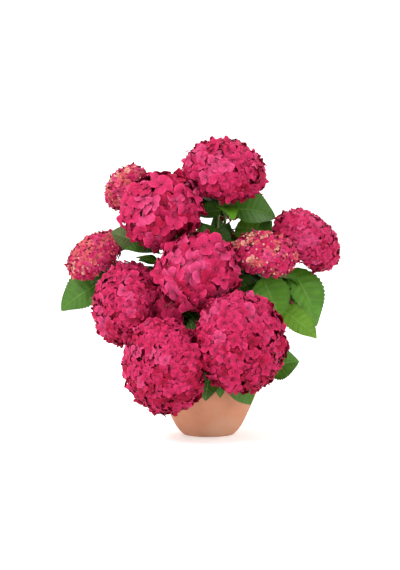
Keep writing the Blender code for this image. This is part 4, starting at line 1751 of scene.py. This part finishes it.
# ---- shoots and leaves
@dataclass
class LeafMaker:
    """Makes fine leaves: rows of faces follow the side veins out to a toothed edge.

    Attributes:
        veins: How many side veins run to each edge.
        teeth: How many teeth the edge has for each vein.
        across: How many faces there are from edge to edge.
        vein_slant: How far forward the veins reach at the edge, as a share of the length.
        tooth: How far a tooth stands out, as a share of the half width.
        notch: How far the edge cuts in between teeth.
        quilt: How far the blade swells between its veins, as a share of its length.
        wave: How far the edges wave, as a share of the length.
        wave_turn: How far a wave turns from base to tip, in radians.
        curls: How far the tip bends down, from least to most, as a share of the length.
        rib_stations: Where along the blade the midrib has its rings.
        rib_taper: The radii of stalk and midrib, as shares of the stalk's.
        rib_sink: How far below the blade the midrib runs.
        full_width: The width of a leaf whose stalk is as thick as its solid's.
    """

    veins: int = 9
    teeth: int = 2
    across: int = 8
    vein_slant: float = 0.13
    tooth: float = 0.055
    notch: float = 0.033
    quilt: float = 0.009
    wave: float = 0.020
    wave_turn: float = 9
    curls: Pair = (-0.03, 0.06)
    rib_stations: tuple[float, ...] = (0.12, 0.28, 0.46, 0.64, 0.82, 0.95)
    rib_taper: tuple[float, ...] = (1.25, 0.95, 0.85, 0.66, 0.56, 0.46, 0.36, 0.26, 0.14)
    rib_sink: float = 0.0003
    full_width: float = 0.05

    def blade(self, bm: BMesh, leaf: Leaf, slot: int, rng: Random) -> None:
        """Adds a leaf's blade.

        Args:
            bm: The mesh that the blade is added to.
            leaf: Where the leaf is.
            slot: The material slot of its green.
            rng: The source of its small differences.
        """
        length, _, across, normal = leaf.axes()
        rows = self.veins * self.teeth * 2
        grid = bmesh.ops.create_grid(bm, x_segments=self.across, y_segments=rows, size=1)["verts"]
        mark_uv(bm, {vertex: ((vertex.co.x + 1) / 2, (vertex.co.y + 1) / 2) for vertex in grid})
        fold = math.radians(LEAVES.fold)
        phase = rng.uniform(0, math.tau)
        curl = rng.uniform(*self.curls)
        ends = []
        for vertex in grid:
            u, v = vertex.co.x, (vertex.co.y + 1) / 2
            row = round(v * rows)
            side = abs(u)
            body = math.sin(math.pi * v)
            share = v + self.vein_slant * side * body
            out = leaf.half_width(share)
            if row in (0, rows):
                ends.append(vertex)
                out = body = 0
            elif side > 0.99:
                out *= 1 + (self.tooth if row % 2 else -self.notch)
            swell = 0.2 - 0.8 * math.cos(math.tau * self.veins * v)
            lift = self.quilt * length * body * swell * max(0, math.sin(math.pi * side)) ** 0.5
            ripple = math.sin(v * self.wave_turn + phase + (1.3 if u > 0 else 0))
            lift += self.wave * length * side * side * ripple * min(1, 3 * body)
            lift -= curl * length * v**4
            rise = normal * (out * side * math.sin(fold) + lift)
            vertex.co = leaf.midrib(share) + across * out * u * math.cos(fold) + rise
        recolour(faces_of(grid), slot)
        bmesh.ops.reverse_faces(bm, faces=faces_of(grid))
        bmesh.ops.translate(bm, verts=grid, vec=back_inside(vertex.co for vertex in grid))
        bmesh.ops.remove_doubles(bm, verts=ends, dist=MERGE)

    def stalk_and_rib(self, bm: BMesh, leaf: Leaf, slot: int) -> None:
        """Adds the leaf's stalk, which runs on as its midrib, in one tapering limb.

        Args:
            bm: The mesh that the limb is added to.
            leaf: Where the leaf is.
            slot: The material slot of the rib's colour.
        """
        sink = leaf.axes()[3] * self.rib_sink
        bow = (leaf.root + leaf.base) / 2 + (leaf.base - leaf.root).length * 0.08 * UP
        points = [leaf.root, bow, leaf.base - sink]
        points += [leaf.midrib(share) - sink for share in self.rib_stations]
        radius = LEAVES.petiole_radius * (0.55 + 0.45 * min(1.0, leaf.width / self.full_width))
        around = zip(points[:1] + points[:-1], points[1:] + points[-1:])
        ways = [(after - before).normalized() for before, after in around]
        rings = tube(bm, points, ways, [radius * taper for taper in self.rib_taper], 5)
        recolour(faces_of(vertex for ring in rings for vertex in ring), slot)


@dataclass
class Shoots:
    """The green shoots with their leaves.

    Attributes:
        growth: Where the leaves are.
        maker: How a leaf is shaped.
        sides: How many sides a shoot's ring has.
        rings: How many rings a shoot has.
        start: How far below its solid a shoot begins, as a share of its stem.
        joint_swell: How much thicker a shoot is where a leaf joins it.
        joint_length: Half the length of that swelling.
    """

    growth: Growth
    maker: LeafMaker = field(default_factory=LeafMaker)
    sides: int = 8
    rings: int = 26
    start: float = 0.01
    joint_swell: float = 0.22
    joint_length: float = 0.006

    def tone(self, leaf: Leaf, rng: Random) -> LeafTone:
        """Picks a leaf's green: the one that it was given, or one that is dealt to it.

        Args:
            leaf: The leaf.
            rng: The source of chance.

        Returns:
            The tone.
        """
        if leaf.tone is not MIDDLE or leaf.face != UP:
            return leaf.tone
        return rng.choice((DEEP, MIDDLE, MIDDLE, BRIGHT))

    def stem(self, head: Head, leaves: Sequence[Leaf]) -> Object:
        """Grows a shoot's stem and its leaf stalks.

        Args:
            head: The head that the shoot carries.
            leaves: The shoot's leaves.

        Returns:
            The piece.
        """
        points, ways = head.run(spread(HABIT.cane_share - self.start, 1.0, self.rings))
        radii = []
        for point, radius in zip(points, spread(HABIT.shoot_radius, HABIT.tip_radius, self.rings)):
            near = min(((point - leaf.root).length for leaf in leaves), default=1)
            radii.append(radius * (1 + self.joint_swell * math.exp(-((near / self.joint_length) ** 2))))
        bm = bmesh.new()
        tube(bm, points, ways, radii, self.sides)
        for leaf in leaves:
            self.maker.stalk_and_rib(bm, leaf, 1)
        return piece(bm, "stems_" + head.name, [GREEN_STEM, RIB], "shoot_" + head.name)

    def blades(self, head: Head, leaves: Sequence[Leaf]) -> Object:
        """Grows a shoot's leaf blades.

        Args:
            head: The head that the shoot carries.
            leaves: The shoot's leaves.

        Returns:
            The piece.
        """
        rng = Random("blades " + head.name)
        tones = list(LeafTone)
        bm = bmesh.new()
        bm.loops.layers.uv.new(UV_NAME)
        for leaf in leaves:
            self.maker.blade(bm, leaf, tones.index(self.tone(leaf, rng)), rng)
        finishes = [tone.value for tone in tones]
        return piece(bm, "leaves_" + head.name, finishes, "shoot_" + head.name)

    def build(self) -> None:
        """Grows every shoot."""
        for head in HEADS:
            leaves = self.growth.leaves[head.name]
            self.stem(head, leaves)
            if leaves:
                self.blades(head, leaves)


# ---- flower heads
@dataclass
class FloretMaker:
    """Makes the florets that are stamped all over the heads, each with four sepals.

    Attributes:
        kinds: How many different florets there are.
        rows: How many faces long a sepal is.
        width: Half a sepal's width, as a share of the floret's radius.
        outline: Where on a sepal's round outline its first row is and its last, in degrees.
        fullness: How square the outline is: 1 is a plain round.
        sizes: How far sepals differ in length.
        widths: How far they differ in width.
        bends: How far the tips bend back, as a share of the floret's radius.
        cups: How far they may rise instead.
        droops: How far a sepal's edges droop.
        twist: How far a sepal twists at most.
        notches: How far its tip runs out in a point or is cut in.
        swing: How far it is turned aside at most, in radians.
        step: How far every other sepal sits above its neighbours.
        ruffle: How far the edges wave.
        bead: The radius of the bud in the middle, as a share of the floret's radius.
    """

    kinds: int = 10
    rows: int = 5
    width: float = 0.50
    outline: Pair = (12, 171)
    fullness: float = 0.72
    sizes: Pair = (0.88, 1.06)
    widths: Pair = (0.90, 1.12)
    bends: Pair = (0.05, 0.36)
    cups: Pair = (-0.10, 0.50)
    droops: Pair = (0.02, 0.12)
    twist: float = 0.32
    notches: Pair = (-0.05, 0.03)
    swing: float = 0.12
    step: float = 0.05
    ruffle: float = 0.08
    bead: float = 0.065

    def sepal(self, bm: BMesh, turn: float, height: float, rng: Random) -> None:
        """Adds one sepal: a broad rounded blade with a narrow claw, bent back and ruffled.

        Args:
            bm: The floret's mesh.
            turn: The way that the sepal points.
            height: How high it sits in the floret.
            rng: The source of its small differences.
        """
        grid = bmesh.ops.create_grid(bm, x_segments=2, y_segments=self.rows, size=1)["verts"]
        size = rng.uniform(*self.sizes)
        width = self.width * rng.uniform(*self.widths)
        bend, cup = rng.uniform(*self.bends), rng.uniform(*self.cups)
        droop = rng.uniform(*self.droops)
        twist = rng.uniform(-self.twist, self.twist)
        notch = rng.uniform(*self.notches)
        phase = rng.uniform(0, math.tau)
        spin = Matrix.Rotation(turn, 4, "Z")
        first, last = self.outline
        places = {}
        for vertex in grid:
            u, v = vertex.co.x, (vertex.co.y + 1) / 2
            swing = math.radians(first + (last - first) * v)
            run = 0.5 - 0.5 * math.cos(swing)
            out = width * math.sin(swing) ** self.fullness * (0.62 + 0.38 * min(1, 2 * v))
            reach = size * (0.03 + 0.97 * run - notch * (1 - abs(u)) * v**4)
            wave = self.ruffle * abs(u) * math.sin(5.2 * v + phase + 2 * u)
            lift = height + cup * run - bend * run * run - droop * u * u + twist * u * run + wave
            vertex.co = spin @ Vector((reach, u * out * size, lift))
            places[vertex] = ((u + 1) / 2, v)
        mark_uv(bm, places)

    def floret(self, rng: Random) -> BMesh:
        """Shapes one floret of radius 1 in the XY plane, its face up.

        Args:
            rng: The source of its small differences.

        Returns:
            Its mesh: part 0 is the sepals and part 1 is the bud.
        """
        bm = bmesh.new()
        bm.loops.layers.uv.new(UV_NAME)
        for k in range(4):
            turn = math.tau * k / 4 + rng.uniform(-self.swing, self.swing)
            self.sepal(bm, turn, self.step * (k % 2), rng)
        for face in bm.faces:
            if face.normal.z < 0:
                face.normal_flip()
        bud = bmesh.ops.create_uvsphere(bm, u_segments=5, v_segments=3, radius=self.bead)["verts"]
        bmesh.ops.translate(bm, verts=bud, vec=UP * (self.step + self.bead))
        recolour(faces_of(bud), 1)
        return bm

    def stamps(self, seed: str) -> list[Stamp]:
        """The different florets, ready to be stamped."""
        rng = Random(seed)
        return [Stamp(self.floret(rng), f"floret_{kind}") for kind in range(self.kinds)]


def slender() -> BMesh:
    """Shapes a slender limb of radius 1 and length 1 along Z, thinner at its far end.

    Returns:
        Its mesh.
    """
    bm = bmesh.new()
    tube(bm, [Vector(), UP], [UP, UP], [1, 0.72], 4)
    return bm


def bud_shape() -> BMesh:
    """Shapes a closed flower bud of radius 1, a little pointed.

    Returns:
        Its mesh.
    """
    bm = bmesh.new()
    bmesh.ops.create_uvsphere(bm, u_segments=6, v_segments=4, radius=1)
    for vertex in bm.verts:
        if vertex.co.z > 0.9:
            vertex.co.z = 1.25
    return bm


LOOSE_FLORETS: dict[str, tuple[Triple, ...]] = {
    "middle": (
        (-0.096, -0.098, 0.276), (-0.080, -0.102, 0.270), (-0.104, -0.090, 0.258),
        (-0.088, -0.096, 0.254), (-0.071, -0.102, 0.256), (-0.096, -0.090, 0.240),
        (-0.078, -0.094, 0.240), (-0.084, -0.108, 0.262), (-0.068, -0.109, 0.250),
        (-0.082, -0.106, 0.244),
    ),
    "upper_left": ((-0.043, -0.020, 0.508), (-0.031, -0.018, 0.488)),
    "front_left": ((-0.029, -0.128, 0.212), (-0.026, -0.132, 0.198), (-0.022, -0.138, 0.184)),
}


@dataclass(frozen=True)
class Layer:
    """One layer of a head's florets.

    Attributes:
        sink: How deep it lies, in floret radii.
        spacing: The distance between its florets, in floret radii.
        turn: How far it is turned about the head, in radians.
        tones: The tones that are dealt to it, the brightest first.
    """

    sink: float
    spacing: float
    turn: float
    tones: tuple[SepalTone, ...]


# Each head's second layer lies deeper and is dealt darker tones than its outer layer, a painted shade
# between the florets; the young heads' layers do the same.
OPEN_LAYERS = (
    Layer(0.38, 1.06, 0.0, (PALE, HOT, HOT, ROSE, ROSE, CRIMSON, SHADE)),
    Layer(1.02, 1.18, 1.7, (ROSE, CRIMSON, SHADE)),
    Layer(1.55, 1.35, 3.1, (HOT, ROSE)),
)
YOUNG_LAYERS = (
    Layer(0.40, 1.12, 0.0, (CREAM, SALMON, PALE, HOT, HOT, ROSE, ROSE, CRIMSON)),
    Layer(1.12, 1.22, 1.7, (ROSE, CRIMSON, CRIMSON)),
    Layer(1.80, 1.45, 3.1, (HOT, ROSE)),
)


@dataclass
class FlowerHeads:
    """The flower heads: florets in three layers on branching stalks.

    Attributes:
        maker: How a floret is shaped.
        tilt: How far a floret leans at random.
        stray: How far a floret strays from its even place, in floret radii.
        hem: How much further down the head they reach than the solids, in degrees.
        sizes: How far the florets differ in size.
        light: The way that the painted light comes from: florets that face it are dealt brighter tones.
        deal_base: Where a layer's dealt tones begin, as a share of them.
        deal_range: How far chance carries a floret's tone from there.
        painted_sunlight: How much brighter the tones dealt to florets that face the light are, a painted
            light.
        low: The height below which florets are dealt darker tones, a painted shade.
        painted_low_shade: How much darker they are dealt, per metre below that height.
        cloud: How far patches of florets go brighter and darker.
        cloud_grain: The size of those patches, per metre.
        loose_way: The way that loose florets face.
        cream_hearts: How many florets of a head full of cream have a cream heart.
        buds: How many closed buds a young head has.
        bud_sink: How deep they lie, in floret radii.
        bud_size: A closed bud's radius.
        bud_sizes: How far closed buds differ in size.
        bud_turn: How far they are turned about the head, in radians.
        stalk_start: Where on its stem the head's own stalk begins.
        stalk_swell: How much thicker the stalk is at each of its three rings.
        stalk_rise: How far up the neck it forks.
        rays: How many branches it has.
        ray_levels: How high the first and the last of them end, from -1 to 1.
        ray_reach: How far out they end, as a share of the head.
        ray_radius: A branch's radius.
        twig_radius: A twig's radius.
        twig_gap: How far under its floret a twig ends.
    """

    maker: FloretMaker = field(default_factory=FloretMaker)
    tilt: float = 0.36
    stray: float = 0.30
    hem: float = 14
    sizes: Pair = (0.80, 1.10)
    light: Triple = (-0.50, -0.35, 0.79)
    deal_base: float = 0.105
    deal_range: float = 0.75
    painted_sunlight: float = 0.24
    low: float = 0.28
    painted_low_shade: float = 0.8
    cloud: float = 0.38
    cloud_grain: float = 34
    loose_way: Triple = (-0.1, -0.97, 0.2)
    cream_hearts: float = 0.6
    buds: int = 80
    bud_sink: float = 0.45
    bud_size: float = 0.0021
    bud_sizes: Pair = (0.6, 1.3)
    bud_turn: float = 0.9
    stalk_start: float = 0.985
    stalk_swell: Triple = (1, 1.05, 1.3)
    stalk_rise: float = 0.8
    rays: int = 9
    ray_levels: Pair = (0.95, -0.10)
    ray_reach: float = 0.45
    ray_radius: float = 0.0013
    twig_radius: float = 0.0006
    twig_gap: float = 0.001

    def spots(self, head: Head, sink: float, spacing: float, turned: float) -> list[Place]:
        """The places on a head's spheroid that no other head covers, as dome gives them."""
        places = dome(head, head.age.cover + self.hem, spacing, sink, turned)
        return [(point, outward) for point, outward in places if not in_another(head, point)]

    def deal(
        self, tones: Sequence[SepalTone], point: Vector, outward: Vector, rng: Random
    ) -> SepalTone:
        """Picks a floret's tone, with painted light and shade: brighter ones more often on the side that
        faces the light, darker ones low down.

        Args:
            tones: The layer's tones, the brightest first.
            point: Where the floret is.
            outward: The way that the floret looks.
            rng: The source of chance.

        Returns:
            The tone.
        """
        share = self.deal_base + self.deal_range * rng.random()
        # Painted light and shade: tones go brighter on florets that face the light, and darker below the
        # low height.
        share -= self.painted_sunlight * outward.dot(Vector(self.light).normalized())
        share += self.painted_low_shade * max(0, self.low - point.z)
        share += self.cloud * noise.noise(point * self.cloud_grain)
        return tones[min(len(tones) - 1, max(0, int(share * len(tones))))]

    def sepals(self, head: Head, stamps: Sequence[Stamp], bud: Stamp) -> list[Place]:
        """Stamps a head's florets.

        Args:
            head: The flower head.
            stamps: The different florets.
            bud: The closed bud.

        Returns:
            Where the outer florets sit, and the way that each looks.
        """
        rng = Random("florets " + head.name)
        tones = list(SepalTone)
        pink_bud, cream_bud = len(tones), len(tones) + 1
        young = head.age is YOUNG
        layers = YOUNG_LAYERS if young else OPEN_LAYERS
        loose = [(Vector(spot), Vector(self.loose_way)) for spot in LOOSE_FLORETS.get(head.name, ())]
        bm = bmesh.new()
        outer = []
        for layer in layers:
            spots = self.spots(head, layer.sink * head.floret, layer.spacing * head.floret, layer.turn)
            if layer is layers[0]:
                spots += loose
                outer = spots
            for point, outward in spots:
                first, second = square_to(outward)
                lean = first * rng.uniform(-self.tilt, self.tilt)
                lean += second * rng.uniform(-self.tilt, self.tilt)
                shift = first * rng.uniform(-1, 1) + second * rng.uniform(-1, 1) - outward * rng.random()
                up = (outward + lean).normalized()
                side = Matrix.Rotation(rng.uniform(0, math.tau), 3, up) @ square_to(up)[0]
                size = head.floret * rng.uniform(*self.sizes)
                place = placed(point + shift * self.stray * head.floret, side, up, size, size)
                creamy = young and rng.random() < self.cream_hearts * head.cream
                heart = cream_bud if creamy else pink_bud
                tone = self.deal(layer.tones, point, outward, rng)
                if tone is CREAM and rng.random() > head.cream:
                    tone = SALMON
                # Loose florets fill gaps between heads and get darker tones there, a painted shade.
                if (point, outward) in loose:
                    tone = rng.choice((ROSE, CRIMSON))
                rng.choice(stamps).put(bm, place, [tones.index(tone), heart])
        if young:
            spacing = math.sqrt(math.tau * head.radius * head.depth / self.buds)
            for point, outward in self.spots(head, head.floret * self.bud_sink, spacing, self.bud_turn):
                size = self.bud_size * rng.uniform(*self.bud_sizes)
                heart = cream_bud if rng.random() < head.cream else pink_bud
                bud.put(bm, placed(point, square_to(outward)[0], outward, size, size), [heart])
        finishes = [tone.value for tone in tones] + [BUD, CREAM_BUD]
        piece(bm, "sepals_" + head.name, finishes, "head_" + head.name)
        return outer

    def stalks(self, head: Head, florets: Sequence[Place], twig: Stamp) -> None:
        """Branches the head's stalk out to its florets.

        Args:
            head: The flower head.
            florets: Where the outer florets sit, and the way that each looks.
            twig: The slender limb to stamp.
        """
        first, second = square_to(head.axis)
        hub = head.collar + head.axis * HABIT.neck * self.stalk_rise
        points = [head.point(self.stalk_start), head.collar, hub]
        radii = [HABIT.tip_radius * swell for swell in self.stalk_swell]
        bm = bmesh.new()
        tube(bm, points, [head.way(1), head.axis, head.axis], radii, 8)
        forks = []
        for k, level in enumerate(spread(*self.ray_levels, self.rays)):
            ring = math.sqrt(1 - level * level)
            turn = k * GOLDEN_ANGLE
            way = first * ring * math.cos(turn) + second * ring * math.sin(turn)
            fork = head.centre + (way * head.radius + head.axis * level * head.depth) * self.ray_reach
            self.twig(bm, hub, fork, self.ray_radius, twig)
            forks.append(fork)
        for point, outward in florets:
            fork = min(forks, key=lambda place: (place - point).length)
            self.twig(bm, fork, point - outward * self.twig_gap, self.twig_radius, twig)
        piece(bm, "flower_stalks_" + head.name, [FLOWER_STALK], "head_" + head.name)

    def twig(self, bm: BMesh, start: Vector, end: Vector, radius: float, stamp: Stamp) -> None:
        """Stamps a slender limb between two points."""
        along = (end - start).normalized()
        stamp.put(bm, placed(start, square_to(along)[0], along, radius, (end - start).length), [0])

    def build(self) -> None:
        """Makes every flower head."""
        stamps = self.maker.stamps("florets")
        twig = Stamp(slender(), "twig")
        bud = Stamp(bud_shape(), "bud")
        for head in BLOOMS:
            self.stalks(head, self.sepals(head, stamps, bud), twig)
        for stamp in stamps + [twig, bud]:
            stamp.discard()


# ---- studio
@dataclass
class Studio:
    """The camera, the soft lights and the pale floor.

    Attributes:
        target: What the camera looks at.
        distance: How far the camera is from it.
        elevation: How far above the target the camera stands, in degrees.
        lens: The camera's focal length, in millimetres.
        sensor: The width of its sensor, in millimetres.
        lamps: The name, place, size, power and colour of each soft light.
        pale: The floor's colour.
        wall: How far away the round backdrop is, and how high.
        steps: How many steps its spin has.
        bend_steps: How many points the bend from floor to backdrop has.
        glow: How much light the backdrop gives off, so that it stays pale.
    """

    target: Triple = (-0.0171, 0.0, 0.2985)
    distance: float = 3.0
    elevation: float = 3.0
    lens: float = 94.74
    sensor: float = 36
    lamps: tuple[tuple[str, Triple, float, float, Colour], ...] = (
        ("key", (-1.7, -2.0, 2.4), 1.0, 62, (1, 0.985, 0.96)),
        ("fill", (2.1, -2.0, 1.0), 1.6, 10, (0.97, 0.98, 1)),
        ("top", (0.2, 0.8, 2.4), 1.4, 18, WHITE),
    )
    pale: Colour = (0.95, 0.95, 0.945)
    wall: float = 5.0
    steps: int = 96
    bend_steps: int = 12
    glow: float = 0.25

    def camera(self) -> None:
        """Places the camera in front of the plant."""
        data = bpy.data.cameras.new("camera")
        data.lens = self.lens
        data.sensor_width = self.sensor
        lift = math.radians(self.elevation)
        back = Vector((0, -math.cos(lift), math.sin(lift)))
        camera = show("camera", data)
        self.aim(camera, Vector(self.target) + back * self.distance)
        bpy.context.scene.camera = camera

    def aim(self, thing: Object, spot: Vector) -> None:
        """Puts a camera or a light at a spot and points it at the plant.

        Args:
            thing: The camera or the light.
            spot: Where it goes.
        """
        thing.location = spot
        thing.rotation_euler = (Vector(self.target) - spot).to_track_quat("-Z", "Y").to_euler()

    def softbox(self, name: str, spot: Triple, size: float, power: float, colour: Colour) -> None:
        """Hangs a square area light that points at the plant.

        Args:
            name: Its name.
            spot: Where it hangs.
            size: The length of its sides.
            power: Its power, in watts.
            colour: Its colour.
        """
        data = bpy.data.lights.new(name, "AREA")
        data.size = size
        data.energy = power
        data.color = colour
        self.aim(show(name, data), Vector(spot))

    def sweep(self) -> None:
        """Turns a pale floor that curves up into a round backdrop."""
        turns = spread(0, math.pi / 2, self.bend_steps)
        curve = [(self.wall - 1 + math.sin(turn), 1 - math.cos(turn)) for turn in turns]
        bm = lathe([(0, 0)] + curve + [(self.wall, self.wall)], self.steps)
        bmesh.ops.reverse_faces(bm, faces=bm.faces)
        mesh = bpy.data.meshes.new("backdrop")
        bm.to_mesh(mesh)
        bm.free()
        mesh.shade_smooth()
        shader = Shader("pale_floor")
        shader.set(Base_Color=(*self.pale, 1), Roughness=0.9)
        shader.set(Emission_Color=(*WHITE, 1), Emission_Strength=self.glow)
        mesh.materials.append(shader.material)
        show("backdrop", mesh)

    def build(self) -> None:
        """Sets up the camera, the lights and the floor."""
        self.camera()
        self.sweep()
        for lamp in self.lamps:
            self.softbox(*lamp)
        world = bpy.data.worlds.new("studio")
        world.use_nodes = True
        sky = world.node_tree.nodes["Background"].inputs
        sky["Color"].default_value = (*WHITE, 1)
        sky["Strength"].default_value = 1.0
        bpy.context.scene.world = world
        bpy.context.scene.view_settings.view_transform = "Standard"


def main() -> None:
    """Dresses the plant from the pot up, then sets up the studio."""
    logging.basicConfig(level=logging.INFO, format="%(message)s")
    ClayPot().build()
    Compost().build()
    wood = Wood()
    wood.stock()
    for head in HEADS:
        wood.cane(head)
    growth = Growth()
    growth.reach_out(REACHING_LEAVES)
    growth.grow_pairs()
    growth.reach_out(SMALL_LEAVES)
    growth.fill_in()
    LOG.info("%d leaves", sum(len(leaves) for leaves in growth.leaves.values()))
    Shoots(growth).build()
    FlowerHeads().build()
    Studio().build()


if __name__ == "__main__":
    main()
